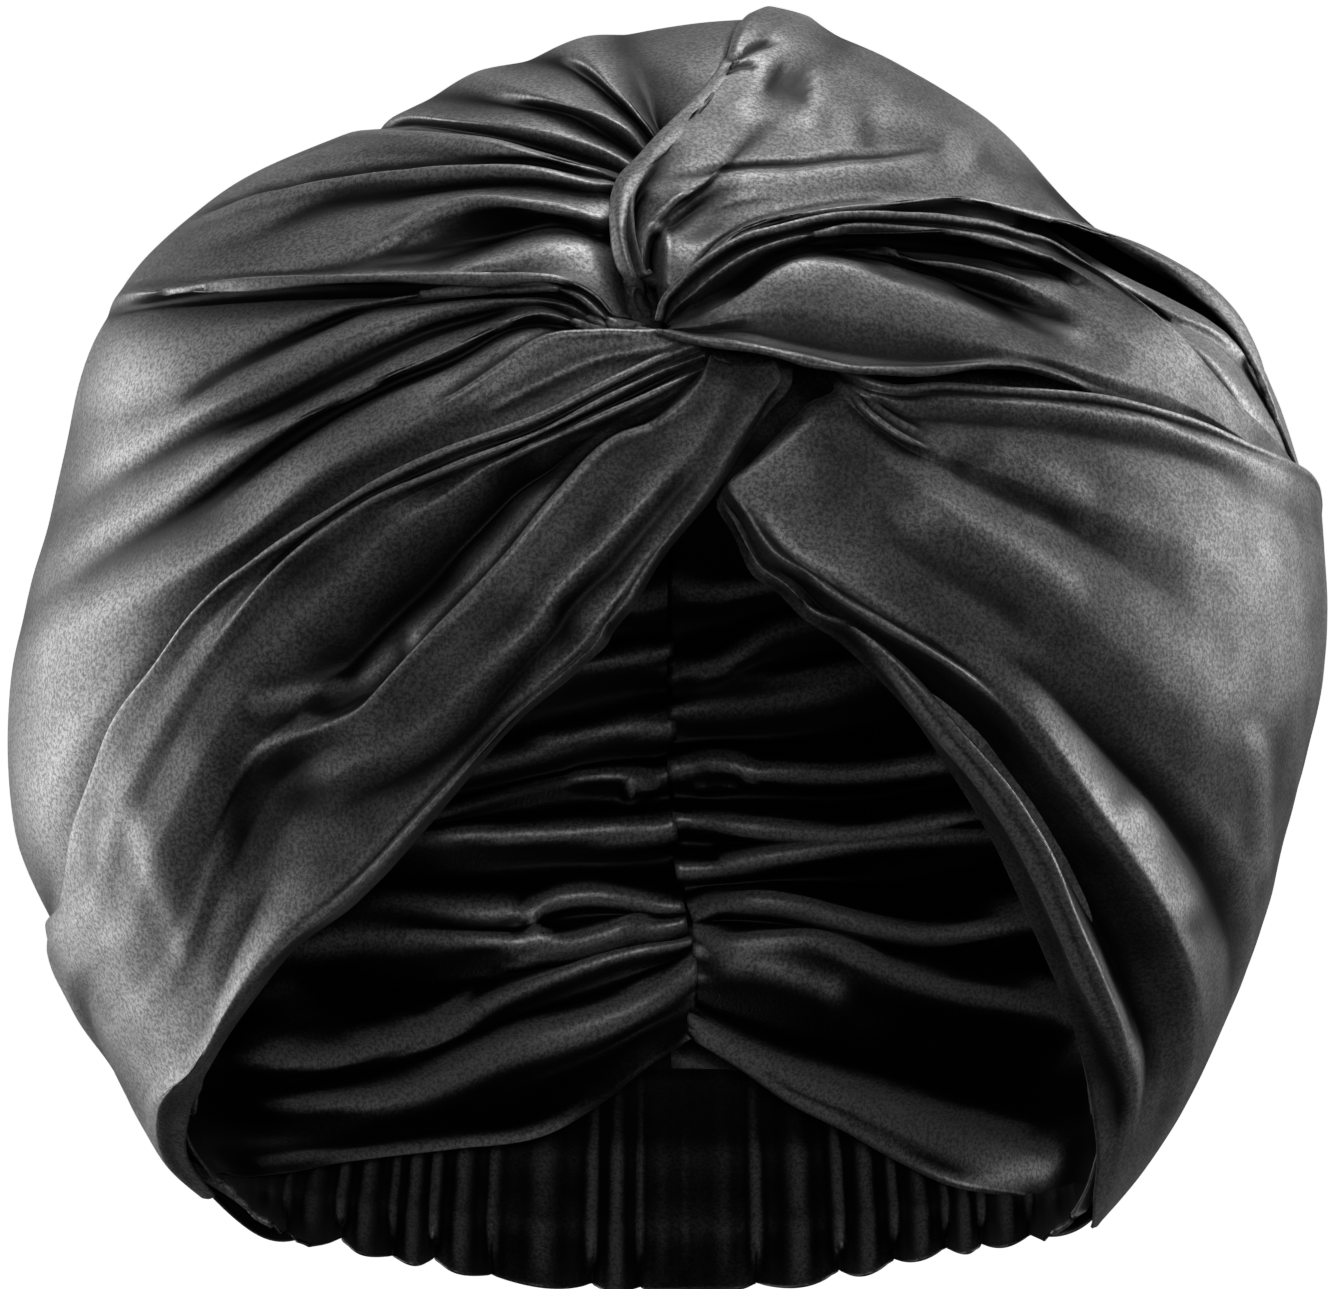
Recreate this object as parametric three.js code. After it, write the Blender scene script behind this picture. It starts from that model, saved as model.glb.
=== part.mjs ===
// Shower cap of the twisted turban kind, shown worn. Millimetres, +Z up, the front faces -Y.
// Every fabric layer is laid over one head form and follows its own table of folds.
import * as THREE from "three";

// ---- Head form -------------------------------------------------------------
// The form is a smooth egg. Seen from the front its outline is a radius for
// each 15 degrees round the middle, from the +X side by way of the top.
const middleUp = 100;
const frontDepth = 105;
const backDepth = 112;
const outlineRadii = [
  122, 123, 123, 114, 117, 119.5, // right side to crown
  118, 114.5, 113.5, 119.5, 122, 117, // crown to left side
  120.5, 124, 126.5, 130.5, 136, 145, // left side to nape
  150, 145, 137, 129, 123, 120, // nape to right side
];

const fabric = 1.6; // built thickness of one gathered satin layer

// Smooth curve through four evenly spaced values.
function between(a, b, c, d, t) {
  return 0.5 * (2 * b + (c - a) * t + (2 * a - 5 * b + 4 * c - d) * t * t + (3 * b - a - 3 * c + d) * t * t * t);
}

function outlineRadius(angle) {
  const place = ((((angle * 12) / Math.PI) % 24) + 24) % 24;
  const i = Math.floor(place);
  const at = (k) => outlineRadii[(i + k + 24) % 24];
  return between(at(-1), at(0), at(1), at(2), place - i);
}

// A point of the form is a unit direction (across, depth, up) on the egg.
// From the front or from behind, it is found under a point (across, up).
function directionUnder([across, up, lift], behind) {
  const angle = Math.atan2(up - middleUp, across);
  const share = Math.min(1, Math.hypot(across, up - middleUp) / (outlineRadius(angle) + lift));
  const depth = Math.sqrt(1 - share * share) * (behind ? 1 : -1);
  return [share * Math.cos(angle), depth, share * Math.sin(angle)];
}

function pointOnForm([dx, dy, dz], lift) {
  const long = Math.hypot(dx, dy, dz);
  const radius = outlineRadius(Math.atan2(dz, dx)) + lift;
  const depth = (dy < 0 ? frontDepth : backDepth) + lift;
  return new THREE.Vector3((radius * dx) / long, (depth * dy) / long, middleUp + (radius * dz) / long);
}

// ---- Fabric layers ---------------------------------------------------------
// Even steps along one fold: each step is a direction on the form and a lift.
function stepsAlong(fold, steps) {
  const stops = [
    ...fold.front.map((p) => [...directionUnder(p, false), p[2]]),
    ...(fold.behind || []).map((p) => [...directionUnder(p, true), p[2]]),
  ];
  const spots = stops.map((s) => pointOnForm(s, s[3]));
  const run = [0];
  for (let i = 1; i < spots.length; i++) run.push(run[i - 1] + Math.max(0.5, spots[i].distanceTo(spots[i - 1])));
  return Array.from({ length: steps + 1 }, (_, k) => {
    return smoothAt(run, stops, (run[run.length - 1] * k) / steps);
  });
}

// Shape-keeping cubic through rows of numbers at uneven places: it never
// overshoots, so a crease stays a crease.
function smoothAt(places, rows, place) {
  let i = 0;
  while (i < places.length - 2 && place > places[i + 1]) i++;
  const gap = places[i + 1] - places[i];
  const t = (place - places[i]) / gap;
  return rows[i].map((_, n) => {
    const slope = (k) => (rows[k + 1][n] - rows[k][n]) / (places[k + 1] - places[k]);
    const lean = (k) => {
      if (k === 0) return slope(0);
      if (k === rows.length - 1) return slope(k - 1);
      const a = slope(k - 1);
      const b = slope(k);
      return a * b <= 0 ? 0 : (2 * a * b) / (a + b);
    };
    const h00 = (1 + 2 * t) * (1 - t) * (1 - t);
    const h10 = t * (1 - t) * (1 - t);
    const h01 = t * t * (3 - 2 * t);
    const h11 = t * t * (t - 1);
    return h00 * rows[i][n] + h10 * gap * lean(i) + h01 * rows[i + 1][n] + h11 * gap * lean(i + 1);
  });
}

// One layer: folds side by side, closed to a wall of even thickness. `wave`
// may add a lift that depends on the row and the place along the fold.
function layer(name, folds, { steps = 20, wall = fabric, wave, cloth = satin } = {}) {
  const lines = folds.map((fold) => stepsAlong(fold, steps));
  const outer = lines.map((line, r) =>
    line.map((s, k) => pointOnForm(s, s[3] + (wave ? wave(r, k / steps) : 0))),
  );
  const rows = outer.length;
  const columns = steps + 1;
  const inner = outer.map((line, r) =>
    line.map((p, k) => {
      const side = outer[Math.min(rows - 1, r + 1)][k].clone().sub(outer[Math.max(0, r - 1)][k]);
      const along = line[Math.min(steps, k + 1)].clone().sub(line[Math.max(0, k - 1)]);
      const out = side.cross(along).normalize();
      const away = p.clone().sub(new THREE.Vector3(0, 0, middleUp));
      if (out.dot(away) < 0) out.negate();
      return p.clone().addScaledVector(out, -wall);
    }),
  );
  const spots = [...outer.flat(), ...inner.flat()];
  const back = rows * columns;
  const faces = [];
  const square = (a, b, c, d) => faces.push(a, b, c, a, c, d);
  for (let r = 0; r < rows - 1; r++)
    for (let k = 0; k < steps; k++) {
      const a = r * columns + k;
      square(a, a + columns, a + columns + 1, a + 1);
      square(back + a, back + a + 1, back + a + columns + 1, back + a + columns);
    }
  const rim = [];
  for (let k = 0; k < steps; k++) rim.push([k, k + 1]);
  for (let r = 0; r < rows - 1; r++) rim.push([r * columns + steps, (r + 1) * columns + steps]);
  for (let k = steps; k > 0; k--) rim.push([(rows - 1) * columns + k, (rows - 1) * columns + k - 1]);
  for (let r = rows - 1; r > 0; r--) rim.push([r * columns, (r - 1) * columns]);
  for (const [a, b] of rim) square(a, b, back + b, back + a);

  const body = new THREE.BufferGeometry();
  body.setAttribute("position", new THREE.Float32BufferAttribute(spots.flatMap((p) => p.toArray()), 3));
  body.setIndex(faces);
  if (enclosed(body) < 0) body.setIndex(faces.map((_, i) => faces[i - (i % 3) + 2 - (i % 3)]));
  const piece = new THREE.Mesh(body, cloth);
  piece.name = name;
  return piece;
}

// Signed volume: below zero when the faces look inwards.
function enclosed(body) {
  const p = body.getAttribute("position");
  const order = body.getIndex().array;
  const corner = (i) => new THREE.Vector3().fromBufferAttribute(p, order[i]);
  let sum = 0;
  for (let i = 0; i < order.length; i += 3) sum += corner(i).dot(corner(i + 1).cross(corner(i + 2))) / 6;
  return sum;
}

const satin = new THREE.MeshStandardMaterial({ color: 0x111111, roughness: 0.4 });
const liningSatin = new THREE.MeshStandardMaterial({ color: 0x0c0c0c, roughness: 0.3 });

// ---- Left half, upper limb -------------------------------------------------
// From the centre seam over the crown, the pleats at the knot and the side,
// round to the seam at the back. Lifts below -4 lie hidden under a neighbour.
// Each row is a fold; its stops run outwards as [across, up, lift].
const crownLeftFolds = [
  { fold: "crown seam", front: [[2, 189.5, -6], [6, 198.5, -4.5], [8.5, 206.5, -4], [10.5, 215, -3.5]], behind: [[6, 216, -4.2], [0.5, 215, -4], [-1.5, 213, -3.2]] },
  { fold: "knot crease 1", front: [[1, 191.5, -8], [-2, 197.5, -5], [-4.5, 205, -2], [-9.5, 211.5, 0]], behind: [[-0.6, 206, -1]] },
  { fold: "knot ridge 1", front: [[0.5, 190.5, -6], [-3.5, 196, -1], [-11, 204.5, 1], [-19, 211.5, 0]], behind: [[-0.6, 198, -1]] },
  { fold: "knot crease 2", front: [[0, 190, -8], [-5, 196, -4], [-13, 203.5, -1], [-30.5, 209, 0]], behind: [[-0.6, 189, -1]] },
  { fold: "knot ridge 2", front: [[-0.5, 188.5, -6], [-7.5, 195, 0], [-19, 201, 1], [-43.5, 204.5, 0]], behind: [[-30, 178, 0], [-0.6, 178, -1]] },
  { fold: "knot crease 3", front: [[-1.5, 188, -8], [-10.5, 193.5, -4], [-30, 199, -2], [-51.5, 199.5, -1]], behind: [[-45, 165, 0], [-0.6, 165, -1]] },
  { fold: "under the top pleat", front: [[-4.5, 185.5, -6], [-15, 189.5, -4], [-35.5, 195.5, -4], [-53, 196.5, -3]], behind: [[-75, 160, -1], [-0.6, 152, -1]] },
  { fold: "top pleat edge", front: [[-6, 184, -5], [-15, 188, 2], [-42.5, 194.5, 4], [-60, 194, 4], [-74, 184, 4]], behind: [[-85, 150, 3], [-0.6, 148, -1]] },
  { fold: "second pleat", front: [[-6, 182.5, -5], [-23, 186, 2], [-55.5, 186, 3], [-75, 182, 3], [-86, 176, 3]], behind: [[-90, 140, 2], [-0.6, 140, -1]] },
  { fold: "soft hollow", front: [[-7, 180, -5], [-22, 182.5, 1], [-43.5, 181.5, 1], [-69, 175.5, 2], [-94.5, 169, 2]], behind: [[-95, 128, 1], [-0.6, 132, -1]] },
  { fold: "loop ridge", front: [[-7, 177, -5], [-14, 178.5, 1], [-31, 180.5, 2.5], [-47, 176, 2.5], [-61.5, 168.5, 2], [-98.5, 166.5, 2]], behind: [[-97, 122, 1], [-0.6, 126, -1]] },
  { fold: "loop hollow", front: [[-7, 174, -6], [-13.5, 176, -3], [-27.5, 175.5, -4], [-42, 171.5, -3], [-59.5, 167.5, 1.5], [-99.5, 165.5, 1.5]], behind: [[-98, 117, 1], [-0.6, 122, -1]] },
  { fold: "loop lip", front: [[-7.5, 169.5, -5.4], [-13, 170.5, 0], [-29, 170.5, 1], [-47, 169, 1], [-65, 168, 2], [-100, 164.5, 2]], behind: [[-99, 113, 1], [-0.6, 118, -1]] },
  { fold: "deep pleat edge", front: [[-6, 160.5, -4], [-11.5, 163.5, 1], [-19, 166.5, 4], [-46.5, 167.5, 4.5], [-70.5, 167.5, 4], [-100.5, 163.5, 3]], behind: [[-100, 108, 1], [-0.6, 112, -1]] },
  { fold: "below the deep pleat", front: [[-5.5, 159.5, -5], [-13, 162, -3], [-20.5, 165, -2], [-46.5, 165.5, -2], [-72, 165.5, -2], [-103, 161, -1]], behind: [[-101, 102, 0], [-0.6, 108, -1]] },
  { fold: "slant ridge 1", front: [[-3.5, 158.5, -4], [-11.5, 160, 0], [-26.5, 163.5, 1], [-51, 163, 1], [-73.5, 155, 1], [-104, 147.5, 0]], behind: [[-103, 96, 0], [-0.6, 100, -1]] },
  { fold: "slant crease 1", front: [[-3, 158, -4], [-13, 159, -1], [-32.5, 160.5, -1], [-62.5, 156, -1.5], [-83, 147.5, -1], [-107.5, 138.5, 0]], behind: [[-104, 88, 0], [-0.6, 90, -1]] },
  { fold: "slant ridge 2", front: [[-2.5, 157.5, -3], [-15, 158, 0], [-38.5, 158, 1.5], [-62, 149.5, 1.5], [-84.5, 139.5, 1], [-108.5, 129.5, 0]], behind: [[-105, 78, 0], [-0.6, 78, -1]] },
  { fold: "slant crease 2", front: [[-2, 157.5, -3], [-16.5, 157.5, -1], [-38.5, 152.5, -2], [-62, 141.5, -2], [-88, 124.5, -1.5], [-113, 111, 0]], behind: [[-106, 66, 0], [-0.6, 66, -1]] },
  { fold: "long ridge", front: [[0.5, 157, 0], [-11.5, 157.5, 2], [-21, 156.5, 2.5], [-41, 145.5, 2.5], [-70, 130, 1.5], [-117, 98.5, 0]], behind: [[-107, 52, 0], [-0.6, 52, -1]] },
  { fold: "above the band", front: [[6, 155.5, -0.4], [-4.5, 153.5, -0.4], [-22.5, 145.5, -0.4], [-54, 132, -0.9], [-82.5, 111, -0.6], [-121, 80, 0]], behind: [[-94, 42, -1], [-0.6, 38, -1]] },
  { fold: "under the band", front: [[8, 152.5, -4.2], [-4.5, 147, -4.2], [-22.5, 139, -3.7], [-52.5, 126.5, -3.2], [-84.5, 100, -3.2], [-105, 66, -4.4]], behind: [[-97, 28, -7], [-50, 20, -4], [-0.6, 20, -2]] },
  { fold: "rim at the back", front: [[8, 150.5, -5], [-4.5, 145.5, -5], [-22.5, 137.5, -4.8], [-52, 125, -4.5], [-82.5, 98, -4.5], [-102, 64, -5.5]], behind: [[-91, 12, -7], [-84, 0, -7], [-50, -3, -6], [-0.6, -4, -5]] },
];

// ---- Right half, upper limb ------------------------------------------------
// The rolled edge hangs down to the knot; the outer fold stands proud of the
// side. Its lower rows start under the wrap and the band.
// Each row is a fold; its stops run outwards as [across, up, lift].
const crownRightFolds = [
  { fold: "roll edge", front: [[-5.5, 164.5, 1], [-9.5, 174, 2], [-8, 185, 2.5], [-2.5, 192.5, 2], [5.5, 201, 1.5], [10, 207, 1.5], [12.5, 214.5, 2]], behind: [[9, 218, 2.5], [0.6, 214, -1]] },
  { fold: "beside the roll", front: [[-3.5, 165, -8], [-4.5, 174.5, -6], [-2.5, 183.5, -1.5], [4.5, 194.5, 0], [10, 203.5, 0.8], [15.5, 213, 3]], behind: [[16, 219.5, 3.8], [0.6, 206, -1]] },
  { fold: "knot groove", front: [[-2.5, 162.5, -9], [-2, 170.5, -9], [-1, 181, -2], [7, 191, 0], [16, 200.5, 0], [24.5, 216, 1.6]], behind: [[26, 214, 1.8], [0.6, 196, -1]] },
  { fold: "knot facet", front: [[-0.5, 161.5, -4], [1.5, 170, -1], [1, 176.5, 1], [10.5, 185, 0.5], [29.5, 197, 0], [43, 208.5, 0]], behind: [[0.6, 184, -1]] },
  { fold: "brow dent", front: [[0, 161, -3], [4.5, 169, 0], [9.5, 179.5, 0], [22, 185.5, 0], [46, 191, 0], [67, 194, 0]], behind: [[0.6, 168, -1]] },
  { fold: "above the fold", front: [[0.5, 161, -3], [6, 169, -1], [13, 176.5, -0.5], [29, 181, 0], [53, 185, 0], [75.5, 184, 0]], behind: [[40, 150, 0], [0.6, 150, -1]] },
  { fold: "outer fold", front: [[1, 161, -3], [7, 168.5, -1], [18.5, 176.5, 0.5], [34.5, 180, 1], [58, 182, 2.5], [78, 178, 3], [100, 168, 3.2], [109, 149.5, 2.5]], behind: [[90, 118, 1.5], [0.6, 130, -1]] },
  { fold: "fold hollow", front: [[1.5, 160.5, -4], [8.5, 167.5, -3], [19.5, 175, -3], [36, 178.5, -3], [56, 179, -4.5], [77, 176, -6], [94, 165, -6], [106, 151, -6]], behind: [[104, 112, -5.5], [70, 110, -1], [0.6, 104, -1]] },
  { fold: "under the wrap", front: [[3.5, 159.5, -5], [9.5, 165, -5], [20.5, 172.5, -5], [36, 175, -5], [53, 173.5, -5], [71.5, 168, -4.4], [87.5, 157, -4.4], [101.5, 142, -4.6]], behind: [[107, 100, -6], [78, 94, -1], [0.6, 86, -1]] },
  { fold: "under the band", front: [[41.5, 158.5, -4], [56, 156, -4.3], [74, 151.5, -4.4], [92.5, 143.5, -4.4], [108.5, 129.5, -4.5]], behind: [[111, 92, -4.5], [98, 72, -2], [0.6, 62, -1]] },
  { fold: "below the band", front: [[92, 134, -4.4], [101, 129, -4.5], [109, 122, -4.5]], behind: [[110, 72, -4.5], [97, 48, -2], [0.6, 36, -1]] },
  { fold: "back of the ear", front: [[108, 104, -4.5], [109, 96.5, -4.5]], behind: [[106, 48, -4.5], [94, 26, -3], [0.6, 14, -2]] },
  { fold: "rim at the back", front: [[101.5, 64, -5], [101, 58.5, -5]], behind: [[98, 22, -5], [86, 2, -5], [50, -3, -5.5], [0.6, -4, -5]] },
];

// ---- Wrap over the knot ----------------------------------------------------
// A leaf of fabric with a double roll at its top edge. It covers the place
// where both bands come out.
// Each row is a fold; its stops run outwards as [across, up, lift].
const wrapRightFolds = [
  { fold: "wrap top edge", front: [[-0.5, 160, 3], [4, 167, 5], [12.5, 174, 6], [23.5, 177, 6], [38, 178.5, 6], [64.5, 176.5, 5], [87, 163, 4], [103, 144.5, 2], [109.5, 138.5, 0]], behind: [[115, 116, -1]] },
  { fold: "second roll", front: [[0, 159.5, 2], [5, 166, 5], [14, 171.5, 6], [25.5, 175.5, 6], [39.5, 177, 6], [62.5, 174, 4.5], [83, 161.5, 3.5], [98.5, 144, 1.5], [108, 137, -0.5]], behind: [[115.5, 114, -1]] },
  { fold: "wrap hollow", front: [[0.5, 159.5, 2], [7, 164.5, 2], [15.5, 170, 0], [26.5, 174, 0], [41.5, 172, -1], [59.5, 166, 1], [79, 155.5, 3], [96, 143.5, 1], [107.5, 136, -1]], behind: [[116, 112, -1]] },
  { fold: "wrap body ridge", front: [[0.5, 159, 3], [8, 163, 5], [16.5, 168, 5.5], [29, 170.5, 6], [43, 168, 6], [59, 161.5, 5.5], [77, 153, 4], [94, 142.5, 1], [107, 135.5, -1]], behind: [[116, 110, -1]] },
  { fold: "wrap body", front: [[0, 158.5, 3], [8.5, 160, 6], [18.5, 160, 7], [32.5, 159.5, 7], [46.5, 157.5, 7], [61, 155.5, 6], [76, 149.5, 4], [92, 142, 1], [106.5, 134.5, -1.5]], behind: [[116, 108, -1]] },
  { fold: "wrap lower edge", front: [[-0.5, 158, 3], [9, 156, 6], [18.5, 154, 6.5], [33.5, 151, 6.5], [46.5, 150.5, 6], [60.5, 151.5, 5], [75, 147.5, 2.5], [91, 141.5, -0.5], [106, 134, -2]], behind: [[116, 106, -1.5]] },
];

// ---- Left front band -------------------------------------------------------
// Runs from under the wrap down to the left corner of the opening.
// Each row is a fold; its stops run outwards as [across, up, lift].
const bandLeftFolds = [
  { fold: "band top edge", front: [[8, 156, 1], [-4.5, 150.5, 1.5], [-22.5, 142, 2], [-50, 131, 2.5], [-72.5, 117, 2.5], [-97.5, 90, 2.5], [-109, 60.5, 3]], behind: [[-100, 34, 3], [-90, 0, 3]] },
  { fold: "second fold", front: [[8.5, 154, 1], [-3.5, 148.5, 2], [-22.5, 139.5, 2.5], [-46, 130, 2.5], [-68.5, 115.5, 2], [-91.5, 90.5, 2], [-103, 60.5, 2]], behind: [[-98, 24, 2], [-92, 1, 2]] },
  { fold: "hollow", front: [[9.5, 152.5, -1], [-2.5, 144.5, -2], [-18.5, 133.5, -4], [-34, 121, -6], [-49, 103.5, -7], [-71.5, 82.5, -3], [-96, 52, 1], [-102.5, 36.5, 1]], behind: [[-94, 4, 1]] },
  { fold: "sharp ridge", front: [[10, 150.5, 1], [1.5, 143, 1.5], [-8, 139, 1.5], [-28, 117.5, 1], [-46.5, 98, 1], [-62, 87.5, 0], [-78.5, 70, -1], [-92, 46.5, 1], [-99.5, 30.5, 1]] },
  { fold: "crease", front: [[11, 149.5, 0], [3, 140.5, 0], [-6.5, 132.5, -1], [-25, 113.5, -1.5], [-44, 95, -2], [-59.5, 84, -2], [-76, 66.5, -2], [-90.5, 43, 0], [-97, 24, 1]] },
  { fold: "soft ridge", front: [[12.5, 148.5, 1], [6, 140, 1.5], [-2.5, 129.5, 1.5], [-21, 110, 1.5], [-39, 91.5, 1], [-57, 82, 0], [-74, 64, -1], [-88.5, 39.5, 1], [-94.5, 18.5, 1]] },
  { fold: "lower crease", front: [[15, 148.5, 1], [8.5, 138.5, 1], [0, 127, 1], [-18, 105.5, 1], [-34, 89.5, -1], [-51.5, 77, -2], [-71, 62.5, -2], [-86.5, 36, 0], [-93.5, 13, 1]] },
  { fold: "front roll", front: [[17.5, 148.5, 1], [11, 136.5, 1.5], [2.5, 124, 1.5], [-14, 103.5, 1.5], [-32, 85.5, 1.5], [-51.5, 65.5, 1.5], [-69.5, 49, 1], [-84, 28.5, 1], [-92, 9, 1]] },
  { fold: "opening edge", front: [[20.5, 148.5, 0], [12.5, 136.5, 0], [5.5, 125.5, 0], [-11, 103.5, 0], [-28, 88.5, 0], [-55, 59, 0], [-67.5, 49, 0], [-82.5, 28, 0], [-91, 7, 0]] },
];

// ---- Right front band ------------------------------------------------------
// Its main bulge hangs over a deep shadow and a folded tube, which is the
// edge of the opening.
// Each row is a fold; its stops run outwards as [across, up, lift].
const bandRightFolds = [
  { fold: "band top edge", front: [[23.5, 152, -4], [31, 149, 0], [48, 148, 1], [68, 147, 2], [78.5, 146, 3], [95, 141.5, 4], [113, 136, 4.5], [120, 125.5, 4]], behind: [[112, 86, 1], [101, 40, -1], [89, 1, -1]] },
  { fold: "corner pleat", front: [[23, 151, -4], [31.5, 148, 1], [41, 140.5, 1.5], [54.5, 134, 1.5], [67.5, 129.5, 1.5], [86, 123, 2], [104.5, 112.5, 2], [119, 96.5, 2]], behind: [[108, 56, 1], [99, 24, 0], [91, 2, -0.5]] },
  { fold: "below the pleat", front: [[21.5, 149.5, -4.5], [29, 145.5, 1], [37.5, 137, 0], [51.5, 127.5, 0], [66, 120.5, 0.5], [84, 111, 1], [103, 95, 1], [115, 74.5, 1], [111.5, 48.5, 1]], behind: [[94, 2, 1]] },
  { fold: "side ridge", front: [[19.5, 148, -4.5], [26, 144, 1], [35, 131.5, 1.5], [49.5, 116, 1.5], [67.5, 102, 1.5], [84, 88, 2], [101.5, 68, 2], [109.5, 51, 1], [101.5, 25.5, 1]] },
  { fold: "side hollow", front: [[17.5, 146, -4.5], [23.5, 141, 1], [32, 126.5, 1], [47, 109, 1], [64, 93, 0], [79.5, 79, -2], [95, 63.5, -2], [103, 47.5, -1], [97, 19, 0]] },
  { fold: "long ridge", front: [[14, 142, -5], [21, 138.5, 1], [29.5, 123, 2], [44.5, 104.5, 2], [60.5, 89, 1.5], [74, 76.5, 1.5], [87, 60, 1.5], [96.5, 43.5, 1], [93, 15.5, 0]] },
  { fold: "bulge edge", front: [[8, 131.5, -5.5], [11, 129.5, -1], [19, 118.5, 1], [37, 107, 1.5], [51, 98, 1.5], [64, 87, 1.5], [75.5, 75.5, 1], [86.5, 62, 0.5], [93.5, 46.5, 0], [91, 12, -1]] },
  { fold: "bulge shadow", front: [[7.5, 130, -6.5], [11, 128.5, -4], [19.5, 117.5, -4], [36, 104.5, -5], [50, 94.5, -6], [63, 81.5, -6], [72.5, 70, -6], [81, 57.5, -6], [88, 40.5, -5], [89, 10.5, -3]] },
  { fold: "tube ridge", front: [[7, 129.5, -7], [11, 128, -4.5], [19, 116.5, -3], [34.5, 106.5, -3], [45, 96, -2], [55, 84, -2], [66.5, 69.5, -2], [74, 55.5, -2], [81, 39.5, -2], [87.5, 8, -2]] },
  { fold: "opening edge", front: [[6.5, 128.5, -7.5], [10, 126.5, -6], [18.5, 115.5, -4], [29.5, 109, -5], [40, 96.5, -5], [51, 82, -5], [60, 66.5, -5], [68.5, 49.5, -5], [75.5, 30.5, -5], [79, 5.5, -4]] },
];

// ---- Lining ---------------------------------------------------------------
// Two sides of the inner layer, from the ruched seam at the back round to the
// edge of the opening. The folds run level and fade towards the front.
// Columns: up at the seam; across and up at the side behind; the same at the
// side in front; the same at the edge; lift at the seam, the side and the edge.
const liningLeftRows = [
  [ 202,   -48,  186,   -62,  158,    -13,  112,  -12.2,  -11.8,  -10.7],
  [ 186,   -72,  168,   -84,  132,    -28,   92,  -12.2,  -11.8,  -10.7],
  [ 168,   -86,  150,   -98,  112,    -42,   77,  -12.2,  -11.8,  -10.7],
  [ 152,   -94,  136,  -103,  100,    -52,   65,  -14.2,  -12.8,  -10.7],
  [ 140,   -97,  124,  -107,   92,    -60,   57,  -12.2,  -11.8,  -10.7],
  [ 129,   -99,  114,  -108,   84,    -66,   51,  -15.2,  -12.8,  -10.7],
  [ 119,  -100,  104,  -108,   76,    -70,   46,  -12.2,  -11.8,  -10.7],
  [ 108,  -100,   94,  -108,   68,    -74,   42,  -16.2,  -13.3,  -10.7],
  [  98,  -100,   84,  -107,   60,    -77,   38,  -12.2,  -11.8,  -10.7],
  [  87,   -99,   74,  -105,   52,    -79,   34,  -16.2,  -13.8,  -10.7],
  [  76,   -97,   64,  -103,   45,    -81,   30,  -12.2,  -11.8,  -10.7],
  [  64,   -95,   53,  -101,   38,    -83,   26,  -17.2,  -14.3,  -10.7],
  [  52,   -92,   42,   -98,   31,  -84.5,   22,  -13.2,  -12.3,  -10.7],
  [  40,   -89,   31,   -94,   25,    -86,   18,  -17.2,  -13.8,  -10.7],
  [  26,   -84,   20,   -89,   18,    -87,   13,  -13.2,  -12.8,  -10.7],
  [  14,   -78,   12,   -83,   12,    -86,    9,  -13.0,  -13.1,   -9.7],
];
const liningRightRows = [
  [ 202,    48,  186,    62,  158,     14,  126,  -12.2,  -11.8,  -10.7],
  [ 186,    72,  168,    84,  132,     26,  112,  -12.2,  -13.4,  -11.6],
  [ 168,    86,  150,    98,  112,     36,  103,  -12.2,  -13.4,  -11.6],
  [ 152,    94,  136,   103,  100,     45,   92,  -15.2,  -14.4,  -11.6],
  [ 140,    97,  124,   107,   92,     52,   82,  -12.2,  -13.4,  -11.6],
  [ 129,    99,  114,   108,   84,     58,   72,  -14.2,  -13.6,  -11.3],
  [ 119,   100,  104,   108,   76,     63,   63,  -12.2,  -11.8,  -10.7],
  [ 108,   100,   94,   108,   68,     67,   55,  -17.2,  -13.3,  -10.7],
  [  98,   100,   84,   107,   60,     70,   48,  -12.2,  -11.8,  -10.7],
  [  87,    99,   74,   105,   52,     72,   42,  -16.2,  -13.8,  -10.7],
  [  76,    97,   64,   103,   45,     74,   36,  -13.2,  -11.8,  -10.7],
  [  64,    95,   53,   101,   38,   75.5,   31,  -18.2,  -14.3,  -10.7],
  [  52,    92,   42,    98,   31,   76.5,   26,  -12.2,  -12.3,  -10.7],
  [  40,    89,   31,    94,   25,   77.5,   20,  -16.2,  -13.8,  -10.7],
  [  26,    84,   20,    89,   18,     78,   14,  -13.2,  -12.8,  -10.7],
  [  14,    78,   12,    83,   12,     78,    9,  -13.0,  -13.1,   -9.7],
];

// The first folds run over the top, from the seam in front down to the edge.
function liningFolds(rows, side) {
  const overTheTop = [
    { front: [[side * 6 + 4, 129, -10.5], [side * 6 + 3, 140, -11.5], [side * 0.6, 152, -12]] },
    { front: [[side * 9 + 3, 121, -10.5], [side * 26, 142, -12], [side * 16, 176, -12], [side * 0.6, 186, -12]] },
    { front: [[side * 12 + 2, 117, -10.5], [side * 42, 146, -12], [side * 44, 178, -12]], behind: [[side * 18, 202, -12], [side * 0.6, 209, -12]] },
  ];
  const roundTheSide = rows.map(([seam, behindX, behindUp, frontX, frontUp, edgeX, edgeUp, seamLift, sideLift, edgeLift]) => ({
    front: [
      [edgeX, edgeUp, edgeLift],
      [frontX, frontUp, sideLift],
    ],
    behind: [
      [behindX, behindUp, sideLift],
      [behindX * 0.5, seam * 0.45 + behindUp * 0.55, (seamLift + sideLift) / 2],
      [side * 0.6, seam, seamLift],
    ],
  }));
  return [...overTheTop, ...roundTheSide];
}

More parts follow.
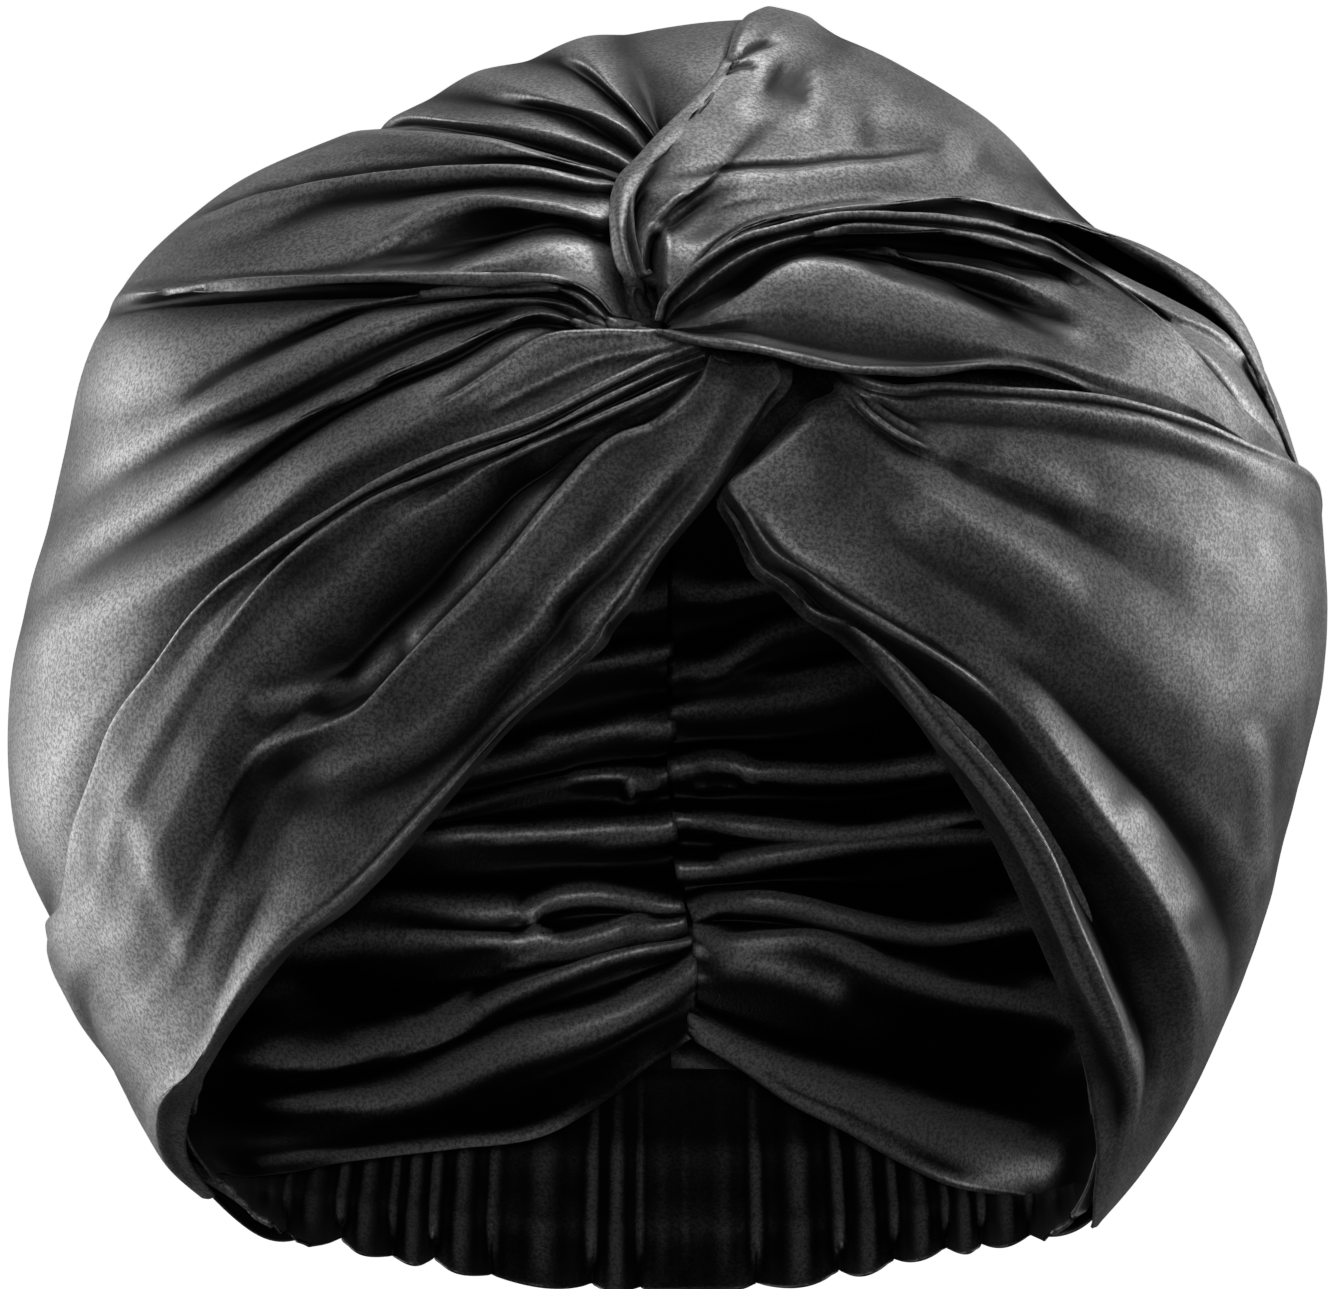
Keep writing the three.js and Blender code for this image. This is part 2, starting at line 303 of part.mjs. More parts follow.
// ---- Nape casing ----------------------------------------------------------
// Gathered casing with its frill, from corner to corner round the back.
// Columns: half width at the corners, up at the corners, up at the centre, lift, gather depth.
const casingRows = [
  [82, 8, 4, -10.5, 0.2],
  [82, 3, -3, -10.5, 0.6],
  [82, -1, -8, -10.5, 0.5],
  [82, -3.5, -11, -8.5, 1.2],
  [81.5, -5.5, -16, -4.5, 2.2],
  [81, -7.5, -20.5, -1.5, 2.6],
];
const gathers = 21;

const casingFolds = casingRows.map(([half, corner, centre, lift]) => ({
  behind: [-1, -0.92, -0.75, -0.5, -0.25, 0, 0.25, 0.5, 0.75, 0.92, 1].map((share) => [
    half * Math.sin((share * Math.PI) / 2),
    centre + (corner - centre) * share * share,
    lift,
  ]),
  front: [],
}));

// ---- Assembly -------------------------------------------------------------
const cap = new THREE.Group();
cap.name = "shower_cap";
cap.add(
  layer("crown_left", crownLeftFolds, { steps: 22 }),
  layer("crown_right", crownRightFolds, { steps: 22 }),
  layer("wrap_right", wrapRightFolds, { steps: 20 }),
  layer("band_left", bandLeftFolds, { steps: 22 }),
  layer("band_right", bandRightFolds, { steps: 22 }),
  layer("lining_left", liningFolds(liningLeftRows, -1), { steps: 14, wall: 1.2, cloth: liningSatin }),
  layer("lining_right", liningFolds(liningRightRows, 1), { steps: 14, wall: 1.2, cloth: liningSatin }),
  layer("nape_casing", casingFolds, {
    steps: gathers * 4,
    wave: (row, along) => casingRows[row][4] * Math.sin(along * gathers * 2 * Math.PI),
  }),
);

export default cap;
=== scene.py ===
import math

import bmesh
import bpy
import numpy as np
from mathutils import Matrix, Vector


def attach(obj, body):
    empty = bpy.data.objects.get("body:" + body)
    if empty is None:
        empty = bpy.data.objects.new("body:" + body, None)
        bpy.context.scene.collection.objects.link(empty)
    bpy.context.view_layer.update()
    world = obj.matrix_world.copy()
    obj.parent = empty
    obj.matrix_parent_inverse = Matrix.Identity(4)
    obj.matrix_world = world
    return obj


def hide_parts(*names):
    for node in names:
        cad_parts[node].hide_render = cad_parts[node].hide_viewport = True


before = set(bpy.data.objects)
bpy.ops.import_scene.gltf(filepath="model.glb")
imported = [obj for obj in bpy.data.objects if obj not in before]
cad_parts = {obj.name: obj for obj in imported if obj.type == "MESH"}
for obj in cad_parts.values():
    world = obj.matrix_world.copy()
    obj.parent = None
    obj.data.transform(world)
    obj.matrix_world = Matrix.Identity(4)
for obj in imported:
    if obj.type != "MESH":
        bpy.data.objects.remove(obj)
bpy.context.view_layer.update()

# ---- Left half, upper limb ---------------------------------------------------
# One big panel of black satin: over the crown, through the pleats at the knot,
# down the side and round to the back. It is held by the twist of the knot and
# gathered onto the seam at the middle of the back.


def grain_group():
    """Satin grain: a fine sparkle and a slow unevenness of the cloth."""
    group = bpy.data.node_groups.new("SatinGrain", "ShaderNodeTree")
    for label, start in (("Grain Size", 2000.0), ("Sparkle", 1.0), ("Slub Size", 120.0)):
        socket = group.interface.new_socket(label, in_out="INPUT", socket_type="NodeSocketFloat")
        socket.default_value = start
    group.interface.new_socket("Grain", in_out="OUTPUT", socket_type="NodeSocketFloat")
    group.interface.new_socket("Slub", in_out="OUTPUT", socket_type="NodeSocketFloat")
    nodes, links = group.nodes, group.links
    given = nodes.new("NodeGroupInput")
    place = nodes.new("ShaderNodeTexCoord")
    fine = nodes.new("ShaderNodeTexNoise")
    fine.inputs["Detail"].default_value = 3.0
    fine.inputs["Roughness"].default_value = 0.75
    slow = nodes.new("ShaderNodeTexNoise")
    slow.inputs["Detail"].default_value = 3.0
    links.new(place.outputs["Object"], fine.inputs["Vector"])
    links.new(place.outputs["Object"], slow.inputs["Vector"])
    links.new(given.outputs["Grain Size"], fine.inputs["Scale"])
    links.new(given.outputs["Slub Size"], slow.inputs["Scale"])
    lift = nodes.new("ShaderNodeMath")
    lift.operation = "MULTIPLY"
    links.new(fine.outputs["Fac"], lift.inputs[0])
    links.new(given.outputs["Sparkle"], lift.inputs[1])
    out = nodes.new("NodeGroupOutput")
    links.new(lift.outputs[0], out.inputs["Grain"])
    links.new(slow.outputs["Fac"], out.inputs["Slub"])
    return group


satin_grain = grain_group()


def remap(nodes, low, high, to_low, to_high):
    """A map range node from low..high to to_low..to_high."""
    node = nodes.new("ShaderNodeMapRange")
    node.inputs["From Min"].default_value = low
    node.inputs["From Max"].default_value = high
    node.inputs["To Min"].default_value = to_low
    node.inputs["To Max"].default_value = to_high
    return node


def satin(name, hollow_painted_shade, fold_painted_highlight, roughness, fold_shine, narrowness):
    """A satin with painted light: its colour goes from a painted shade in the hollows to a painted
    highlight on the folds, after the Crest attribute: how far a spot stands above the cloth around it.
    Its coat follows the same mask. A higher narrowness keeps the painted highlight and the coat to the
    very tops of the folds."""
    cloth = bpy.data.materials.new(name)
    cloth.use_nodes = True
    nodes, links = cloth.node_tree.nodes, cloth.node_tree.links
    shader = nodes["Principled BSDF"]
    shader.inputs["Specular IOR Level"].default_value = 0.09
    shader.inputs["Coat Roughness"].default_value = 0.43
    shader.inputs["Sheen Weight"].default_value = 0.02
    shader.inputs["Sheen Roughness"].default_value = 0.35
    crest = nodes.new("ShaderNodeAttribute")
    crest.attribute_name = "Crest"
    grain = nodes.new("ShaderNodeGroup")
    grain.node_tree = satin_grain
    grain.inputs["Grain Size"].default_value = 1500.0
    grain.inputs["Slub Size"].default_value = 90.0
    # the grain's sparkle multiplies the painted fold highlight, so it is lost in the painted black of
    # the hollows
    spark = remap(nodes, 0.41, 0.6, 0.48, 1.52)
    links.new(grain.outputs["Grain"], spark.inputs["Value"])
    fold = nodes.new("ShaderNodeMath")
    fold.operation = "POWER"
    fold.inputs[1].default_value = narrowness
    links.new(crest.outputs["Fac"], fold.inputs[0])
    lit = nodes.new("ShaderNodeMath")
    lit.operation = "MULTIPLY"
    links.new(fold.outputs[0], lit.inputs[0])
    links.new(spark.outputs["Result"], lit.inputs[1])
    # painted light: near-black painted shade in the hollows, painted highlight colour on the folds
    painted_light_mix = nodes.new("ShaderNodeMix")
    painted_light_mix.data_type = "RGBA"
    painted_light_mix.inputs["A"].default_value = (*hollow_painted_shade, 1.0)
    painted_light_mix.inputs["B"].default_value = (*fold_painted_highlight, 1.0)
    links.new(lit.outputs[0], painted_light_mix.inputs["Factor"])
    links.new(painted_light_mix.outputs["Result"], shader.inputs["Base Color"])
    # the coat is real gloss, but this mask lays it only on the folds, which paints their highlights
    coat = nodes.new("ShaderNodeMath")
    coat.operation = "MULTIPLY"
    coat.inputs[1].default_value = fold_shine
    links.new(lit.outputs[0], coat.inputs[0])
    links.new(coat.outputs[0], shader.inputs["Coat Weight"])
    rough = remap(nodes, 0.3, 0.7, roughness - 0.05, roughness + 0.05)
    links.new(grain.outputs["Slub"], rough.inputs["Value"])
    links.new(rough.outputs["Result"], shader.inputs["Roughness"])
    bump = nodes.new("ShaderNodeBump")
    bump.inputs["Strength"].default_value = 0.5
    bump.inputs["Distance"].default_value = 0.00018
    links.new(grain.outputs["Grain"], bump.inputs["Height"])
    links.new(bump.outputs["Normal"], shader.inputs["Normal"])
    return cloth


# Painted light: near-black painted shade in the hollows and a grey painted highlight on the folds.
black_satin = satin(
    "black_satin",
    hollow_painted_shade=(0.0010, 0.0010, 0.0011),
    fold_painted_highlight=(0.055, 0.055, 0.056),
    roughness=0.46,
    fold_shine=1.25,
    narrowness=2.4,
)

# Head form, in mm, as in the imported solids: a smooth egg. Seen from the front
# its outline is a radius for each 15 degrees, from the +X side by way of the top.
MIDDLE_UP, FRONT_DEPTH, BACK_DEPTH = 100.0, 105.0, 112.0
OUTLINE_RADII = [
    122, 123, 123, 114, 117, 119.5, 118, 114.5, 113.5, 119.5, 122, 117,
    120.5, 124, 126.5, 130.5, 136, 145, 150, 145, 137, 129, 123, 120,
]  # fmt: skip


def outline_radius(angle):
    """Half width of the form at an angle round its middle, from +X by the top."""
    place = (np.asarray(angle) * 12 / math.pi) % 24
    i = np.floor(place).astype(int)
    t = place - i
    a, b, c, d = (np.array(OUTLINE_RADII, float)[(i + k) % 24] for k in (-1, 0, 1, 2))
    square, cube = 2 * a - 5 * b + 4 * c - d, 3 * b - a - 3 * c + d
    return 0.5 * (2 * b + (c - a) * t + square * t**2 + cube * t**3)


def direction_under(stop, behind):
    """Direction on the form under a stop (across, up, lift), from the front or
    from behind."""
    across, up, lift = stop
    angle = math.atan2(up - MIDDLE_UP, across)
    share = min(1.0, math.hypot(across, up - MIDDLE_UP) / (outline_radius(angle) + lift))
    depth = math.sqrt(1 - share * share) * (1 if behind else -1)
    return share * math.cos(angle), depth, share * math.sin(angle)


def on_form(direction, lift):
    """Points in mm for directions (..., 3) and lifts (...)."""
    d = direction / np.linalg.norm(direction, axis=-1, keepdims=True)
    radius = outline_radius(np.arctan2(d[..., 2], d[..., 0])) + lift
    depth = np.where(d[..., 1] < 0, FRONT_DEPTH, BACK_DEPTH) + lift
    return np.stack([radius * d[..., 0], depth * d[..., 1], MIDDLE_UP + radius * d[..., 2]], -1)


def leans_through(places, rows, keep):
    """Slopes for a cubic through rows at uneven places. keep=1 never overshoots
    and keep=0 is rounder. places and rows may hold many columns."""
    gaps = np.diff(places, axis=0)
    slopes = np.diff(rows, axis=0) / gaps[..., None]
    lean = np.zeros_like(rows)
    lean[0], lean[-1] = slopes[0], slopes[-1]
    a, b = slopes[:-1], slopes[1:]
    ga, gb = gaps[:-1, ..., None], gaps[1:, ..., None]
    tight = np.where(a * b > 0, 2 * a * b / np.where(np.abs(a + b) < 1e-12, 1e-12, a + b), 0)
    rounder = (a * gb + b * ga) / (ga + gb)
    lean[1:-1] = keep * tight + (1 - keep) * rounder
    return lean


def hermite(p0, p1, m0, m1, gap, t):
    """The cubic from p0 to p1 with slopes m0 and m1, at share t of the gap."""
    t2, t3 = t * t, t * t * t
    start = (2 * t3 - 3 * t2 + 1) * p0 + (t3 - 2 * t2 + t) * gap * m0
    return start + (3 * t2 - 2 * t3) * p1 + (t3 - t2) * gap * m1


def run_along(points, least=0.0):
    """Distance run at each point of a line, with a least length for each step."""
    steps = np.maximum(least, np.linalg.norm(np.diff(points, axis=0), axis=1))
    return np.concatenate([[0], np.cumsum(steps)])


def walk(run, stops, lean, wanted):
    """Spots at the wanted distances along the cubic through the stops."""
    i = np.clip(np.searchsorted(run, wanted, side="right") - 1, 0, len(run) - 2)
    gap = (run[i + 1] - run[i])[:, None]
    return hermite(stops[i], stops[i + 1], lean[i], lean[i + 1], gap, (wanted - run[i])[:, None] / gap)


def along_fold(front, behind, steps, closer):
    """Steps along one fold: rows of direction and lift."""
    stops = [(*direction_under(p, False), p[2]) for p in front]
    stops += [(*direction_under(p, True), p[2]) for p in behind]
    stops = np.array(stops, float)
    run = run_along(on_form(stops[:, :3], stops[:, 3]), least=0.5)
    lean = leans_through(run, stops, 0.0)
    lean[:, 3] = leans_through(run, stops, 1.0)[:, 3]
    share = np.linspace(0, 1, steps + 1)
    return walk(run, stops, lean, run[-1] * ((1 - closer) * share + closer * share**2))


def lay_fabric(folds, across, steps, ripple=None, closer=0.45):
    """A grid of points in mm, `across` intervals over the folds, `steps` along
    them: closer at their start, or at their end where `closer` is below 0."""
    lines = np.array([along_fold(front, behind, steps, closer) for _, _, front, behind in folds])
    crisp = np.array([fold[1] for fold in folds], float)
    spots = on_form(lines[..., :3], lines[..., 3])
    hops = np.maximum(0.3, np.linalg.norm(np.diff(spots, axis=0), axis=2))
    place = np.concatenate([np.zeros((1, steps + 1)), np.cumsum(hops, axis=0)])
    lean = leans_through(place, lines, 0.7)
    lean[..., 3] = leans_through(place, lines, 1.0)[..., 3]
    slope = np.diff(lines[..., 3], axis=0) / np.diff(place, axis=0)
    # how many grid rows each gap between folds gets, by its usual width
    width = np.median(hops, axis=1) ** 0.75 + 0.8
    share = np.cumsum(width) / width.sum()
    counts = np.maximum(1, np.diff(np.concatenate([[0], np.round(share * across)])).astype(int))
    out = []
    for g, n in enumerate(counts):
        gap = (place[g + 1] - place[g])[:, None]
        m0, m1 = lean[g].copy(), lean[g + 1].copy()
        m0[:, 3] = (1 - crisp[g]) * m0[:, 3] + crisp[g] * slope[g]
        m1[:, 3] = (1 - crisp[g + 1]) * m1[:, 3] + crisp[g + 1] * slope[g]
        for k in range(n + (g == len(counts) - 1)):
            out.append(hermite(lines[g], lines[g + 1], m0, m1, gap, k / n))
    sheet = np.array(out)
    sheet[1:-1] = 0.5 * sheet[1:-1] + 0.25 * (sheet[2:] + sheet[:-2])
    sheet[:, 1:-1] = 0.5 * sheet[:, 1:-1] + 0.25 * (sheet[:, 2:] + sheet[:, :-2])
    lift = sheet[..., 3]
    if ripple is not None:
        u = np.linspace(0, 1, sheet.shape[0])[:, None]
        v = np.linspace(0, 1, steps + 1)[None, :]
        lift = lift + ripple(u, v)
    return on_form(sheet[..., :3], lift)


def face_out(grid):
    """Unit normals of a grid, pointing away from the head."""
    out = np.cross(np.gradient(grid, axis=0), np.gradient(grid, axis=1))
    out /= np.maximum(1e-9, np.linalg.norm(out, axis=-1, keepdims=True))
    if (out * (grid - np.array([0, 0, MIDDLE_UP]))).sum() < 0:
        out = -out
    return out


BACK_STARTS, BACK_IS_FULL = 10, 35  # mm behind the middle


def calmer_behind(grid, share):
    """1 in front, less by `share` on the back, where the cloth is pulled smooth."""
    return 1 - share * np.clip((grid[..., 1] - BACK_STARTS) / (BACK_IS_FULL - BACK_STARTS), 0, 1)


def press_creases(grid, creases, behind=False):
    """Small creases: each raises or sinks the cloth along its line, with a dip
    beside it: on its left for a plus, on its right for a minus."""
    out = face_out(grid)
    x, z = grid[..., 0], grid[..., 2]
    rise = np.zeros(x.shape)
    for _, height, width, dip, line in creases:
        stops = np.array(line, float)
        run = run_along(stops)
        fine = np.linspace(0, run[-1], 9 * (len(stops) - 1) + 1)
        path = walk(run, stops, leans_through(run, stops, 0.0), fine)
        reach = 4 * width + 1
        low, high = path.min(axis=0) - reach, path.max(axis=0) + reach
        near = (x > low[0]) & (x < high[0]) & (z > low[1]) & (z < high[1])
        near &= (grid[..., 1] > 20) == behind
        px, pz = x[near], z[near]
        best = np.full(px.shape, 1e9)
        side = np.zeros(px.shape)
        place = np.zeros(px.shape)
        for k in range(len(path) - 1):
            (ax, az), (bx, bz) = path[k], path[k + 1]
            long = max(1e-9, (bx - ax) ** 2 + (bz - az) ** 2)
            t = np.clip(((px - ax) * (bx - ax) + (pz - az) * (bz - az)) / long, 0, 1)
            far = np.hypot(px - ax - t * (bx - ax), pz - az - t * (bz - az))
            closer = far < best
            best = np.where(closer, far, best)
            side = np.where(closer, np.sign((bx - ax) * (pz - az) - (bz - az) * (px - ax)), side)
            place = np.where(closer, (k + t) / (len(path) - 1), place)
        fade = np.clip(np.minimum(place, 1 - place) / 0.22, 0, 1)
        fade = fade * fade * (3 - 2 * fade)
        profile = height * np.exp(-((best / width) ** 2))
        if dip:
            beside = side * np.sign(dip) * best / width
            profile -= abs(dip) * np.exp(-((beside - 1.8) ** 2))
        rise[near] += fade * profile
    return grid + out * rise[..., None]


def slacken(grid, size, depth, seed):
    """Slow unevenness of soft cloth: waves about `size` mm long."""
    rng = np.random.default_rng(seed)
    rise = np.zeros(grid.shape[:2])
    for _ in range(14):
        way = rng.normal(size=3)
        way /= np.linalg.norm(way)
        wave = size * rng.uniform(0.6, 1.8)
        turn = rng.uniform(0, 2 * math.pi)
        rise += np.sin(2 * math.pi * (grid @ way) / wave + turn) * (wave / size)
    return grid + face_out(grid) * (depth * calmer_behind(grid, 0.75) * rise / 5)[..., None]


def crest_of(grid, out, plain_back):
    """How far each spot stands above the cloth around it, 0 in a hollow to 1 on a fold. The satin paints
    shade into the hollows and a highlight onto the folds from it, and lays its coat on the folds."""
    crest = np.zeros(grid.shape[:2])
    soft = grid.copy()
    done = 0
    for rounds, depth, share in ((4, 0.10, 0.22), (30, 0.7, 0.26), (160, 2.2, 0.24)):
        for _ in range(rounds - done):
            wide = np.pad(soft, ((1, 1), (1, 1), (0, 0)), mode="edge")
            beside = wide[2:, 1:-1] + wide[:-2, 1:-1] + wide[1:-1, 2:] + wide[1:-1, :-2]
            soft = 0.2 * (soft + beside)
        done = rounds
        crest += share * np.tanh(((grid - soft) * out).sum(axis=-1) / depth)
    return np.clip(0.5 + crest * calmer_behind(grid, 0.6 * plain_back), 0, 1)


def painted_light_from(place, start, end, low, high):
    """Painted light, added to the Crest value: from `low` to `high` while a place goes from start to
    end, so below 0 it paints shade."""
    return low + (high - low) * np.clip((place - start) / (end - start), 0, 1)


def sew(name, grid, wall, material, plain_back=0.0, added_painted_light=0.0):
    """A closed cloth piece from a grid in mm, with a UV map in metres."""
    rows, columns = grid.shape[:2]
    out = face_out(grid)
    # Painted light: the Crest value plus the painted offset sets the painted shade and highlight; the
    # inner side takes the Crest upside down.
    crest = crest_of(grid, out, plain_back)
    crest = np.stack([crest + added_painted_light, 1 - crest + added_painted_light]).clip(0, 1)  # outer side, inner side
    inner = grid - out * wall
    points = np.concatenate([grid.reshape(-1, 3), inner.reshape(-1, 3)]) / 1000
    index = np.arange(rows * columns).reshape(rows, columns)
    a, b, c, d = index[:-1, :-1], index[1:, :-1], index[1:, 1:], index[:-1, 1:]
    top = np.stack([a, b, c, d], -1).reshape(-1, 4)
    ring = np.concatenate([index[0, :-1], index[:-1, -1], index[-1, :0:-1], index[:0:-1, 0]])
    following = np.roll(ring, -1)
    n = rows * columns
    walls = np.stack([ring, following, following + n, ring + n], -1)
    faces = np.concatenate([top, top[:, ::-1] + n, walls])
    cloth = bpy.data.meshes.new(name)
    cloth.from_pydata(points.tolist(), [], faces.tolist())
    run_u = run_along(grid[:, columns // 2]) / 1000
    run_v = run_along(grid[rows // 2]) / 1000
    uv_of = np.stack(np.broadcast_arrays(run_v[None, :], run_u[:, None]), -1).reshape(-1, 2)
    uv_of = np.concatenate([uv_of, uv_of])
    corners = np.empty(len(cloth.loops), int)
    cloth.loops.foreach_get("vertex_index", corners)
    uv_map = cloth.uv_layers.new(name="Cloth")
    uv_map.data.foreach_set("uv", uv_of[corners].astype(np.float32).ravel())
    height = cloth.attributes.new("Crest", "FLOAT", "POINT")
    height.data.foreach_set("value", crest.ravel().astype(np.float32))
    work = bmesh.new()
    work.from_mesh(cloth)
    if work.calc_volume(signed=True) < 0:
        bmesh.ops.reverse_faces(work, faces=work.faces)
    work.to_mesh(cloth)
    work.free()
    cloth.polygons.foreach_set("use_smooth", [True] * len(cloth.polygons))
    piece = bpy.data.objects.new(name, cloth)
    bpy.context.collection.objects.link(piece)
    cloth.materials.append(material)
    return piece


def gathered_end(puckers, depth, phase):
    """Small puckers where a layer is gathered onto the seam at its far end."""

    def ripple(u, v):
        near = np.exp(-(((1 - v) / 0.03) ** 2))
        wide = np.exp(-(((1 - v) / 0.12) ** 2))
        swing = 2 * math.pi * puckers * u + phase
        tight = near * np.sin(swing + 0.9 * np.sin(3.1 * swing))
        return depth * (tight + 0.6 * wide * np.sin(0.53 * swing + 1.0))

    return ripple


